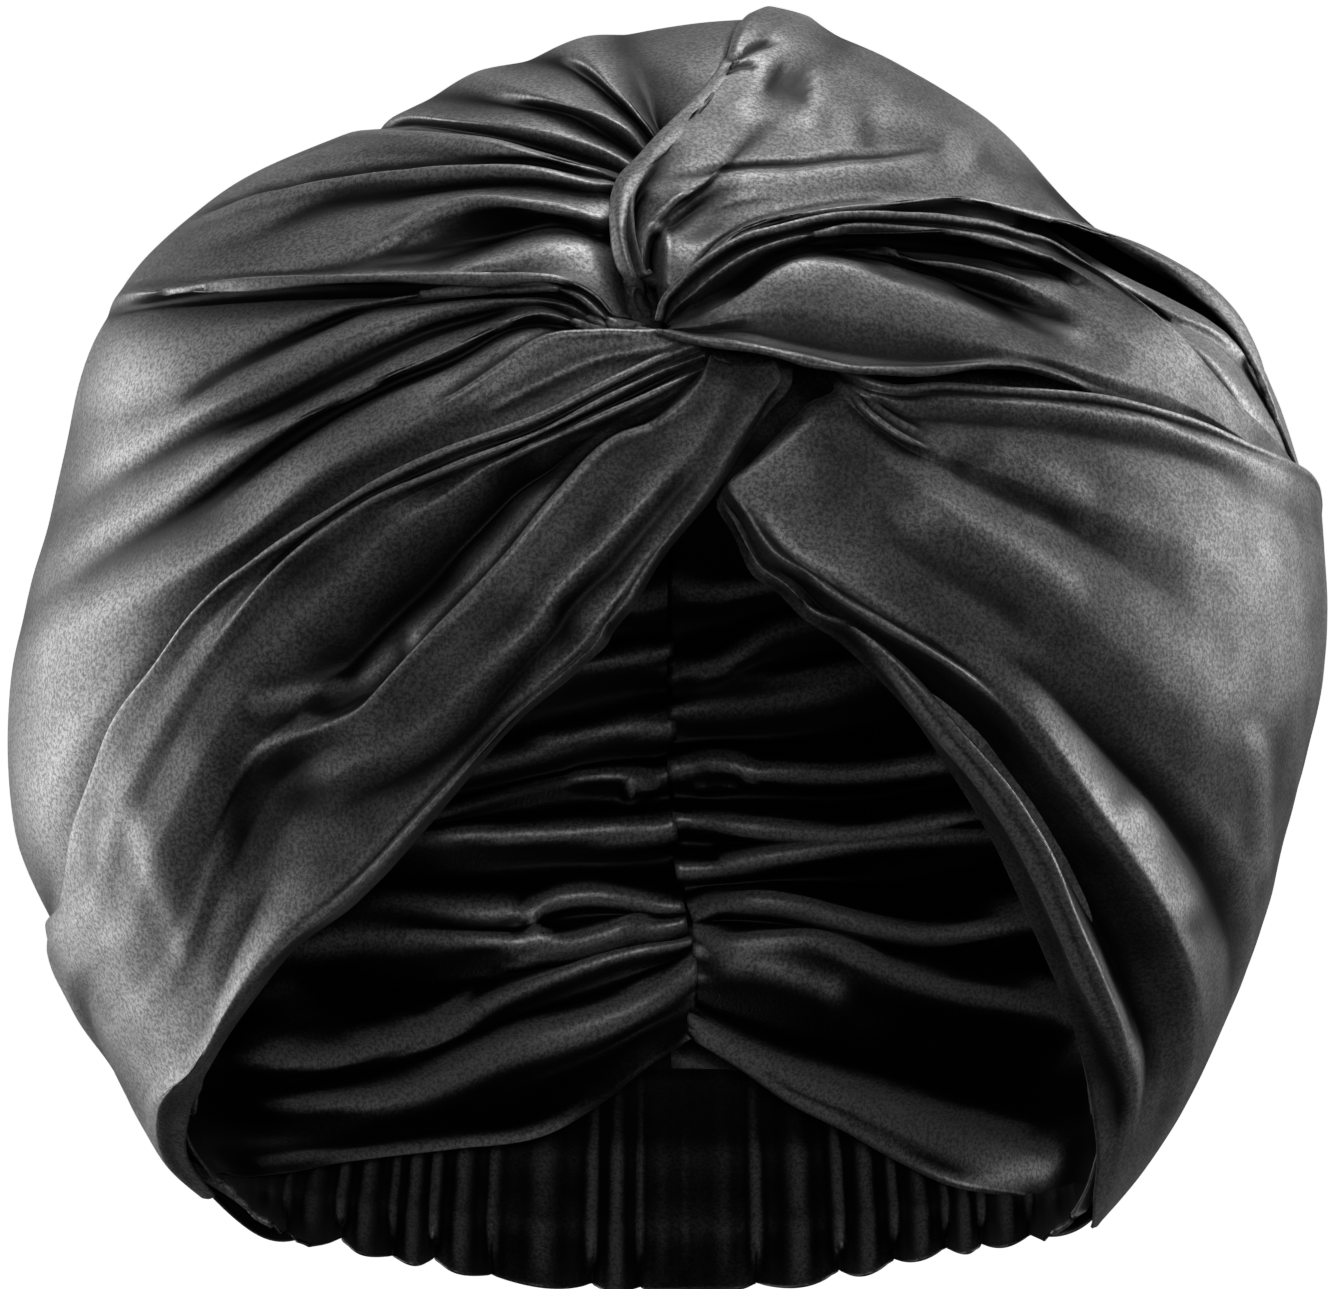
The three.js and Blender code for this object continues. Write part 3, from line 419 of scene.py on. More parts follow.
# Each row of FOLDS is a fold: its name, how crisp it is (0 soft to 1 sharp), its
# stops in front and its stops behind. A stop is (across, up, lift) in mm.
CROWN_LEFT_FOLDS = [
    ("crown seam", 0.25, [
        (2, 189.5, -6), (6, 198, -3), (9.5, 205.5, -0.6), (12, 213, 0.2),
    ], [(8, 217.5, 1.2), (4, 215.5, 0), (1.2, 213, -1.6)]),
    ("knot crease 1", 0.7, [
        (0.5, 191.5, -8), (-2, 197, -5), (-3.5, 202.5, -3), (-6.7, 210.8, -0.8),
    ], [(1.2, 207, -2.2)]),
    ("knot ridge 1", 0.25, [
        (0, 190.5, -6), (-3.5, 196, -1), (-7.5, 201, 0.8), (-13.6, 209, 1),
    ], [(1.2, 199, -2.2)]),
    ("knot crease 2", 0.7, [
        (-0.5, 190, -8), (-5.5, 197, -4.5), (-13, 204.5, -2.8), (-22.9, 209.8, -0.8),
    ], [(1.2, 191, -2.2)]),
    ("knot ridge 2", 0.25, [
        (-1.5, 188.5, -6), (-7.5, 195.5, -0.5), (-14.5, 199, 1), (-30, 205.3, 0.8),
    ], [(-19, 201, 0), (1.2, 185, -2.2)]),
    ("knot crease 3", 0.7, [
        (-2, 188, -8), (-10.5, 194, -4.5), (-17, 198, -3), (-29.9, 200.6, -1.5), (-44.4, 203.8, -0.5),
    ], [(-31, 197, -0.5), (1.2, 178, -2.2)]),
    ("knot ridge 3", 0.25, [
        (-3, 186.5, -6), (-11.5, 191.5, -2.5), (-22.5, 195, -0.8), (-39, 198, 0), (-49.8, 200.6, -0.5),
    ], [(-37, 194, -0.6), (1.2, 171, -2.2)]),
    ("under the top pleat", 0.7, [
        (-4.5, 185.5, -7), (-13.5, 189, -5.5), (-23, 192, -4.5), (-35.5, 195.5, -3.5),
        (-46.8, 197.8, -3), (-53.1, 197.2, -2.5),
    ], [(-43, 189, -1.4), (-22, 178, -0.8), (1.2, 164, -2.2)]),
    ("top pleat edge", 0.5, [
        (-5.5, 184.5, -5), (-13.5, 187.5, 1), (-23, 190, 3), (-31, 192.5, 3.2), (-42.5, 194.5, 2.6),
        (-50.4, 196.2, 1), (-54.8, 197.1, 0.4),
    ], [(-46, 186, 0), (-24, 172, -0.5), (1.2, 157, -2.2)]),
    ("between the pleats", 0.4, [
        (-6, 184, -6), (-13.5, 186.5, -1), (-23, 188.5, 0.8), (-39, 190.5, 2), (-53.5, 192, 2.4),
        (-64.8, 192.6, 1.6), (-74, 190, 0.8),
    ], [(-62, 181, 0.3), (-36, 166, -0.4), (1.2, 149, -2.2)]),
    ("second pleat", 0.3, [
        (-6, 183.5, -5), (-10.5, 184.5, 0), (-23, 186.5, 2), (-39, 187, 2.4), (-55.5, 186.5, 2.4),
        (-67.5, 184.5, 2), (-77.2, 183.2, 1.2), (-83.3, 182.8, 0.5),
    ], [(-73.3, 177, 0.3), (-46, 161.5, -0.6), (1.2, 140, -2.2)]),
    ("soft panel", 0.4, [
        (-6.5, 182, -6), (-11.5, 183, -2.5), (-23, 184.5, -1), (-39, 184, -0.5), (-58.5, 181.5, 0.2),
        (-74.5, 176, 1), (-89.8, 174.6, 0.6),
    ], [(-79, 169, 0.3), (-49.5, 155, -0.6), (1.2, 135.5, -2.2)]),
    ("loop ridge", 0.25, [
        (-7, 178, -5), (-11, 178, 0), (-17, 179.5, 1.5), (-23, 180.5, 2.4), (-35, 181, 3),
        (-43, 178.5, 3), (-49.5, 175, 3), (-57.5, 172, 2.6), (-76, 170.5, 1.6), (-94.9, 169.9, 0.2),
    ], [(-83.5, 164.5, 0.2), (-52, 150.5, -0.6), (1.2, 131, -2.2)]),
    ("loop hollow", 0.6, [
        (-7, 174.5, -8), (-11.5, 175, -5), (-18.5, 177, -6), (-29.5, 174.5, -5.5), (-40, 172, -3),
        (-46, 171, -0.5), (-56, 170, 1.6), (-76, 169, 1.4), (-95.9, 169.1, 0.1),
    ], [(-84.4, 163, 0.1), (-52.5, 148, -0.6), (1.2, 127, -2.2)]),
    ("loop lip", 0.25, [
        (-7.5, 170.5, -6), (-11, 171.5, -1.5), (-14, 172.5, 0.6), (-18.5, 172.5, 1.5),
        (-29, 170.5, 2.4), (-38.5, 169, 2.8), (-47, 169, 2.8), (-59.5, 168.5, 2.6), (-76, 168, 1.9),
        (-97.1, 168.4, 0.1),
    ], [(-85.4, 162, 0.1), (-53.5, 145.5, -0.6), (1.2, 123, -2.2)]),
    ("under the lip", 0.5, [
        (-7, 166.5, -6), (-11.5, 167.5, -0.5), (-18.5, 169, 1), (-29, 168.5, 1.4), (-39.5, 168, 3.2),
        (-47.5, 168, 3.4), (-65, 167.5, 3.1), (-79.5, 167, 2.4), (-98.8, 167.8, 0.1),
    ], [(-86.9, 161, 0.1), (-54.5, 143.5, -0.6), (1.2, 119, -2.2)]),
    ("deep pleat edge", 0.5, [
        (-6, 160.5, -4), (-9.5, 161, 0.5), (-11.5, 163.5, 2), (-16.5, 166.5, 3.4), (-30.5, 167, 3.9),
        (-46.5, 167.5, 3.9), (-70.5, 167, 3.5), (-85.5, 166.5, 2.3), (-100.6, 167, 0.1),
    ], [(-88.5, 159.5, 0.1), (-55.5, 141, -0.6), (1.2, 115, -2.2)]),
    ("below the deep pleat", 0.8, [
        (-5.5, 160, -6), (-9.5, 160, -2.5), (-12, 162.5, -0.8), (-16, 165, 0.4), (-27, 166.5, 0.2),
        (-38.5, 166.5, -1.5), (-51.5, 165.5, -3), (-71, 165.5, -4.4), (-88, 165, -3.4),
        (-99.1, 164.1, -1.4), (-103.6, 163.5, -0.6),
    ], [(-91.2, 156, -0.6), (-57, 137, -0.6), (1.2, 111, -2.2)]),
    ("second edge", 0.3, [
        (-4.5, 159, -4), (-8.5, 158.5, 0.3), (-11.5, 161, 1.3), (-15, 164, 1.8), (-19, 165.5, 1.8),
        (-26.5, 166, 1.6), (-38.5, 165.5, 1.4), (-51.5, 163.5, 1), (-65, 161, 0.3),
        (-83.5, 159.5, -1.2), (-97.1, 159.2, -1), (-105.3, 160.4, -0.6),
    ], [(-92.7, 153, -0.6), (-58, 133.5, -0.6), (1.2, 107, -2.2)]),
    ("slant crease 1", 0.5, [
        (-3.5, 158.5, -5), (-11.5, 160, -2), (-16, 163, -1), (-27, 165, -1.2), (-38.5, 164, -1.4),
        (-50.5, 162.5, -1.6), (-62.5, 158.5, -1.8), (-78.5, 151.5, -1.2), (-89.5, 147, -0.6),
        (-107.7, 144.2, -0.6),
    ], [(-94.8, 138, -0.6), (-59, 122.5, -0.6), (1.2, 101, -2.2)]),
    ("slant ridge 1", 0.3, [
        (-3.5, 158.5, -4), (-11.5, 159.5, -0.3), (-16, 162, 0.5), (-26.5, 163.5, 0.9),
        (-38.5, 162.5, 1.3), (-54.5, 157.5, 1.4), (-70, 149.5, 1.4), (-86.5, 142, 0.8),
        (-109.1, 133.1, 0),
    ], [(-96, 127.5, 0), (-60, 113.5, -0.6), (1.2, 94, -2.2)]),
    ("slant crease 2", 0.5, [
        (-3, 158, -4.5), (-12, 159, -1.8), (-22.5, 162.5, -1.6), (-38.5, 159, -1.7), (-54.5, 152, -1.8),
        (-70, 144.5, -1.8), (-82.5, 139.5, -1.2), (-111, 125.5, -0.2),
    ], [(-97.7, 120, -0.2), (-61, 106, -0.6), (1.2, 86, -2.2)]),
    ("slant ridge 2", 0.3, [
        (-2.5, 158, -4), (-12.5, 158.5, -0.3), (-22.5, 161, 0.8), (-30.5, 158, 1.4), (-46, 151, 1.6),
        (-62, 143.5, 1.6), (-78, 135, 1), (-112.7, 118.1, 0),
    ], [(-99.2, 112.5, 0), (-62, 98, -0.6), (1.2, 78, -2.2)]),
    ("slant crease 3", 0.5, [
        (-2.5, 158, -4), (-13, 158, -1.8), (-22.5, 159, -2.2), (-26.5, 158.5, -2.3),
        (-38.5, 152.5, -2.4), (-54, 146, -2.2), (-70, 136, -2), (-88, 124, -1.4), (-114, 110.3, -0.3),
    ], [(-100.3, 104.5, -0.3), (-62.5, 89.5, -0.6), (1.2, 69, -2.2)]),
    ("long ridge", 0.3, [
        (0, 158, 0), (-11.5, 157.5, 1.3), (-21, 156.5, 2), (-29, 151.5, 2.4), (-36.5, 146.5, 2.4),
        (-46.5, 141, 2), (-62, 132, 1.5), (-82.5, 117.5, 1), (-116.5, 99.9, 0.3),
    ], [(-102.5, 94, 0.3), (-64, 79.5, -0.6), (1.2, 59, -2.2)]),
    ("cheek", 0.3, [
        (6, 156, -1), (-4.5, 154.5, -0.6), (-21, 148.5, -0.8), (-38.5, 140, -0.8), (-54, 133, -0.8),
        (-73, 120, -0.8), (-93.5, 101, -0.3), (-109, 82, 0.4),
    ], [(-119.8, 65, 0.6), (-98, 44, -0.5), (1.2, 46, -2.2)]),
    ("under the band", 0.7, [
        (8, 152.5, -5), (-4.5, 147, -5), (-22.5, 139, -4.5), (-52.5, 126.5, -4), (-84.5, 100, -3.5),
        (-99.5, 78.5, -3), (-109.4, 65.8, -2),
    ], [(-111.7, 48, -2.4), (-98, 28, -1.8), (-50, 22, -2.5), (1.2, 22, -2.5)]),
    ("rim at the back", 0.25, [
        (8, 150.5, -6), (-4.5, 146, -6), (-22.5, 137.5, -6), (-52, 125, -6), (-82.5, 98, -6),
        (-98, 64, -6.5),
    ], [(-103.1, 28, -1.6), (-91, 8, -1.6), (-84, 0, -1.8), (-50, -3, -3), (1.2, -4, -2.5)]),
]  # fmt: skip
# Each row of CREASES is a small crease: its name, height, width and the dip
# beside it, then its line as (across, up), all in mm.
CROWN_LEFT_CREASES = [
    ("top pleat line", 0.5, 0.7, -0.5, [
        (-8, 185.5), (-15, 188), (-23, 190.5), (-31, 193), (-42.5, 195), (-53.5, 196.5),
    ]),
    ("second pleat line", 1.1, 0.9, -1.1, [
        (-9, 184), (-23, 187), (-39, 187.5), (-55.5, 186.5), (-71.5, 184), (-82, 181.5), (-88, 179),
    ]),
    ("loop line", 1, 0.9, 0.8, [
        (-10.5, 177.5), (-17, 179.5), (-23, 180.5), (-35, 181.5), (-43, 179), (-50, 175), (-57, 172.5),
    ]),
    ("lip line", 0.5, 0.7, -0.4, [(-12, 171.5), (-18.5, 172.5), (-29, 170.5), (-38.5, 169)]),
    ("pleat shadow", -1.7, 1.2, 0, [
        (-11.5, 162), (-16.5, 165), (-30.5, 166), (-46.5, 166), (-70.5, 166), (-85.5, 165.5),
        (-93, 165), (-97.5, 164),
    ]),
    ("second rim", 0.6, 0.7, 0.4, [
        (-8.5, 158.5), (-11.5, 161), (-15, 164), (-19, 165.5), (-26.5, 166), (-38.5, 165.5),
        (-51.5, 163.5),
    ]),
    ("slant line 1", -0.5, 1.2, 0, [(-50.5, 163.5), (-62.5, 158.5), (-78.5, 151.5), (-88.5, 145)]),
    ("slant line 2", -0.7, 1.2, 0, [
        (-22, 162.5), (-38.5, 159), (-54, 152), (-70, 144.5), (-81.5, 140),
    ]),
    ("slant line 3", -0.8, 1.2, 0, [
        (-8.5, 158), (-22.5, 159), (-26.5, 158), (-38.5, 152), (-54, 146), (-70, 136.5), (-87, 124.5),
    ]),
    ("small slant 1", 0.4, 1, 0, [(-18.5, 163.5), (-29, 162.5), (-41.5, 159.5), (-53.5, 155)]),
    ("small slant 2", 0.4, 1, 0, [
        (-11.5, 159), (-21, 159.5), (-29, 156.5), (-41, 149.5), (-55.5, 143),
    ]),
    ("long line", 0.7, 0.7, -0.7, [
        (-1.5, 157.5), (-11.5, 157.5), (-21, 156.5), (-29, 151.5), (-36.5, 146.5), (-43, 143),
    ]),
    ("tongue line", 0.4, 0.8, 0, [(4.5, 155), (-2.5, 154.5), (-11.5, 153), (-22, 148.5), (-34, 142)]),
]  # fmt: skip

grid = lay_fabric(CROWN_LEFT_FOLDS, across=200, steps=220, ripple=gathered_end(38, 0.5, 0.0))
grid = slacken(press_creases(grid, CROWN_LEFT_CREASES), size=18, depth=0.07, seed=1)
# Painted light: the crown is painted lighter towards its top and a little darker low down.
piece_painted_light = painted_light_from(grid[..., 2], start=70, end=160, low=-0.05, high=0.09)
crown_left = sew("left_crown", grid, wall=0.6, material=black_satin, plain_back=1.0, added_painted_light=piece_painted_light)
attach(crown_left, "root")
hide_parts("crown_left")

# ---- Right half, upper limb --------------------------------------------------
# The other satin panel. Its edge is rolled under and hangs down to the knot,
# and its outer fold stands proud of the side. It is gathered onto the same seam.
CROWN_RIGHT_FOLDS = [
    ("roll edge", 0.5, [
        (-2, 161, -12), (-3.5, 163.5, -9), (-4.5, 165.5, -3), (-6, 166, 0.3), (-7.5, 168, 1.6),
        (-9, 172, 2.1), (-9.5, 176.5, 2.4), (-9.5, 181, 2.4), (-8, 186, 2.2), (-4.5, 190, 2),
        (-2, 193, 1.8), (5.5, 201, 1.5), (10, 207.5, 1.5), (12.7, 214.4, 1.9),
    ], [(9, 218.5, 2.6), (-0.2, 214, -0.6)]),
    ("roll crest", 0.25, [
        (-1.5, 161, -13), (-3, 163.5, -10), (-4, 165.5, -2.5), (-5.5, 167.5, 2), (-7, 171.5, 3.2),
        (-8, 176, 3.6), (-8, 180.5, 3.6), (-6.5, 185, 3.3), (-3, 188.5, 2.8), (0, 192.5, 2.4),
        (6.5, 199.5, 1.9), (11, 206.5, 1.9), (14.3, 214.2, 2.8),
    ], [(12, 219.5, 4), (-0.2, 212, -0.8)]),
    ("roll pocket", 0.35, [
        (-1.5, 161, -14), (-2.5, 163.5, -12), (-3.5, 165.5, -8), (-4, 168.5, -6), (-5, 172.5, -5.5),
        (-5.5, 176.5, -4), (-5.5, 180.5, -0.6), (-4, 183.5, 1.5), (-0.5, 187.5, 2.1), (3, 191.5, 2),
        (8, 198.5, 1.7), (13, 206, 1.8), (15.9, 212.9, 2.7),
    ], [(16, 220, 4), (-0.2, 208, -0.8)]),
    ("arch, left leg", 0.3, [
        (-1, 160.5, -14), (-2, 163, -11), (-3, 165.5, -5), (-4, 169, -0.5), (-4, 172, 0.6),
        (-4, 174.5, 1), (-3, 176.5, 1.3), (-1, 179, 1.8), (2, 181.5, 2.2), (5, 183.5, 1.6),
        (9, 188, 1.1), (14.5, 197.5, 1), (18, 205, 1.2), (21.8, 213.2, 2.3),
    ], [(24, 217.5, 3.2), (-0.2, 202, -0.8)]),
    ("arch hollow", 0.6, [
        (-1, 160.5, -14), (-1.5, 163.5, -13), (-2, 166, -12), (-2.5, 169.5, -10), (-2.5, 172, -8),
        (-2, 174, -3.5), (-0.5, 176, -0.8), (1.5, 178.5, 0.4), (4, 181, 0.2), (6.5, 183, -0.4),
        (11, 187.5, 0.2), (20, 196, 0), (26.5, 204, 0), (32.3, 211.5, 0.6),
    ], [(-0.2, 194, -0.8)]),
    ("arch, right leg", 0.3, [
        (-1, 160, -9), (-0.5, 163, -4), (0, 166, -0.5), (0.5, 170, 1), (0.5, 172.5, 1.2),
        (0.5, 174, 0.8), (2, 177, -1), (5, 179.5, -1.3), (8, 182, -0.8), (12.5, 185.5, 0),
        (24, 191, 0.2), (35, 198.5, 0.2), (45.9, 207.5, 0),
    ], [(-0.2, 184, -0.8)]),
    ("knot facet", 0.3, [
        (-0.5, 160, -5), (0.5, 162.5, -2), (2.5, 166, 0), (4.5, 170, 0.7), (6, 172.5, 0.5),
        (7, 175.5, -0.8), (9, 179, -0.8), (14.5, 182, 0), (27, 187, 0.3), (40.5, 191.5, 0.2),
        (57, 201, 0),
    ], [(-0.2, 174, -0.8)]),
    ("above the fold", 0.3, [
        (-0.5, 159.5, -4), (1, 162.5, -2.5), (3.5, 166.5, -1), (6, 170, -0.3), (8.5, 173, -0.3),
        (12.5, 176.5, 0), (19.5, 180, 0.3), (29.5, 182.5, 0.4), (42, 184.5, 0.2), (55, 187.5, 0),
        (68.6, 187.2, -0.6), (75.7, 183.6, -1),
    ], [(62, 163, -1.5), (-0.2, 156, -0.8)]),
    ("outer fold", 0.4, [
        (-0.5, 159.5, -4), (1.5, 163, -3), (4, 166, -2), (7, 170, -1), (10, 173, 0), (14.5, 176, 0.9),
        (20.5, 178, 1.2), (27.5, 179.5, 1.3), (34.5, 180.5, 1.3), (42.5, 181.5, 1.3), (53, 183, 1),
        (60, 182, 0.8), (69.7, 180.5, 0.4), (78.6, 178.6, 0.4), (89, 175.6, 1.7), (98.5, 170.5, 2.3),
        (104.3, 165, 1.8), (108.4, 157.1, 0.9), (109.9, 150, 0.2),
    ], [(108, 110, 0), (75, 125, -1), (-0.2, 138, -0.8)]),
    ("fold hollow", 0.7, [
        (0, 159.5, -6), (2, 162.5, -5.5), (5, 165.5, -5), (7.5, 169.5, -4.5), (11, 172.5, -4),
        (15.5, 175, -3.5), (21.5, 177, -3.5), (29, 178.5, -3.5), (36, 179.5, -3.5), (43.5, 180, -3.5),
        (53.5, 180.5, -3.5), (62, 179, -6), (70.8, 178, -8.5), (76.2, 171.6, -10), (83.7, 166.7, -10.5),
        (91.5, 163, -9.5), (99.5, 159.9, -6.5), (106.3, 156.6, -3), (109.9, 149.4, -1.2),
    ], [(104, 104, -4), (72, 114, -1.5), (-0.2, 122, -0.8)]),
    ("strip edge", 0.4, [
        (3.5, 159.5, -7), (9.5, 165, -7), (20.5, 173, -7), (36, 175.5, -7), (56, 175.5, -7),
        (70, 172.9, -6.5), (79.3, 169.5, -5.5), (86.3, 166, -3.5), (90.8, 163.9, -2), (96.4, 162, -1),
        (101.1, 160, -0.4), (105.5, 157.1, -0.2), (108.7, 150.7, -0.3), (110.3, 147.4, -0.5),
    ], [(106, 100, -2.5), (75, 105, -1.5), (-0.2, 106, -0.8)]),
    ("strip crease", 0.6, [
        (3.5, 159.5, -7.2), (10.5, 164.5, -7.2), (21, 172, -7.2), (36.5, 174, -7.2), (55.5, 173, -7.2),
        (70, 170, -7), (79, 166.9, -6), (87.4, 164.7, -5), (92.6, 161.4, -3), (97.3, 159.7, -2.3),
        (103.1, 155.7, -2), (107.8, 150.4, -1.8), (111.2, 144.5, -1.2),
    ], [(107, 97, -3), (78, 96, -1.5), (-0.2, 92, -0.8)]),
    ("lens", 0.3, [
        (4.5, 159, -7.4), (11, 163.5, -7.4), (22, 170.5, -7.4), (37, 172, -7.4), (55.5, 170.5, -7.4),
        (69.5, 166.5, -7), (78.5, 163.5, -6.5), (87, 161, -5.5), (93, 158.5, -2), (98.5, 155, -0.6),
        (104.2, 149.2, -0.3), (108.6, 144.8, -0.2), (113.2, 140.8, 0),
    ], [(109, 94, -3), (82, 86, -1.5), (-0.2, 78, -0.8)]),
    ("under the band", 0.7, [
        (41.5, 158.5, -6), (56, 156, -6), (74, 151.5, -6), (92.5, 143.5, -5), (108.6, 129.3, -4.5),
    ], [(111, 80, -4.5), (98, 62, -2.5), (-0.2, 60, -0.8)]),
    ("below the band", 0.7, [
        (92, 134, -4.8), (101, 129, -4.8), (109, 122, -4.8),
    ], [(110, 66, -4.5), (97, 44, -2.5), (-0.2, 38, -0.8)]),
    ("back of the ear", 0.25, [
        (106, 104, -4.8), (107, 96.5, -4.8),
    ], [(106, 44, -2.5), (94, 24, -2), (-0.2, 16, -0.8)]),
    ("rim at the back", 0.25, [
        (99.5, 64, -5.5), (99, 58.5, -5.5),
    ], [(98, 22, -2.5), (86, 0, -1.8), (50, -3, -3), (-0.2, -4, -2.5)]),
]  # fmt: skip
CROWN_RIGHT_CREASES = [
    ("brow crease", -0.8, 0.6, -0.25, [
        (-1.5, 184), (1, 185.5), (6, 186.5), (15, 188), (24, 188.5), (33, 190), (42, 191),
        (49.5, 192.5),
    ]),
    ("brow swell", 0.5, 3, 0, [(6, 183.5), (17, 185), (29.5, 186), (44, 188), (57, 190.5)]),
    ("finger edge", 0.7, 0.7, -0.5, [(-2.5, 177), (-0.5, 179), (2, 181.5), (5, 183.5)]),
    ("arch edge", 0.5, 0.6, 0, [
        (-4, 170), (-4, 174), (-2.5, 176.5), (-0.5, 176), (0.5, 173.5), (0.5, 170), (-0.5, 165),
    ]),
    ("dimple", -0.9, 3.4, 0, [(18, 205.5), (22.5, 204), (27, 203.5)]),
    ("dimple rim", 0.4, 3, 0, [(12.5, 202), (15.5, 198), (22.5, 196.5), (29.5, 197)]),
    ("seam pucker 1", -1.4, 0.9, 0.3, [(10, 209.5), (12.5, 209.5), (16.5, 211.5), (21, 213)]),
    ("seam pucker 2", -1, 0.8, 0, [(10.5, 206), (13.5, 207.5), (17, 207.5)]),
    ("lip line", 0.4, 0.6, 0.4, [
        (7, 170), (10, 173), (14.5, 176), (20.5, 178), (27.5, 179.5), (34.5, 180.5), (42.5, 181.5),
    ]),
    ("soft fold 1", 0.5, 4, 0, [(35, 199), (46, 196.5), (58, 190.5)]),
    ("soft fold 2", -0.5, 4, 0, [(33, 194), (42, 193.5), (53, 192)]),
]  # fmt: skip


def turn_under(grid, radius, tuck, first, last):
    """Rolls the first and last row of a grid under itself, like a folded edge."""
    out = face_out(grid)

    def roll(edge, inner, normal):
        back = inner - edge
        back -= (back * normal).sum(-1, keepdims=True) * normal
        back /= np.maximum(1e-9, np.linalg.norm(back, axis=-1, keepdims=True))
        rows = []
        for angle in np.linspace(0, math.pi, 7)[1:]:
            down = normal * radius * (1 - math.cos(angle))
            rows.append(edge - back * radius * math.sin(angle) - down)
        for far in (0.35, 0.7, 1.0):
            rows.append(edge + back * tuck * far - normal * radius * (2 + 0.3 * far))
        return rows

    rows = list(grid)
    if first:
        rows = roll(grid[0], grid[2], out[0])[::-1] + rows
    if last:
        rows = rows + roll(grid[-1], grid[-3], out[-1])
    return np.array(rows)


grid = lay_fabric(CROWN_RIGHT_FOLDS, across=170, steps=200, ripple=gathered_end(34, 0.5, 2.0))
grid = slacken(press_creases(grid, CROWN_RIGHT_CREASES), size=14, depth=0.10, seed=2)
grid = turn_under(grid, radius=0.9, tuck=4, first=True, last=False)
# Painted light: painted lighter towards the right side.
piece_painted_light = painted_light_from(grid[..., 0], start=30, end=80, low=0.0, high=0.07)
crown_right = sew("right_crown", grid, wall=0.5, material=black_satin, plain_back=1.0, added_painted_light=piece_painted_light)
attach(crown_right, "root")
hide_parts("crown_right")

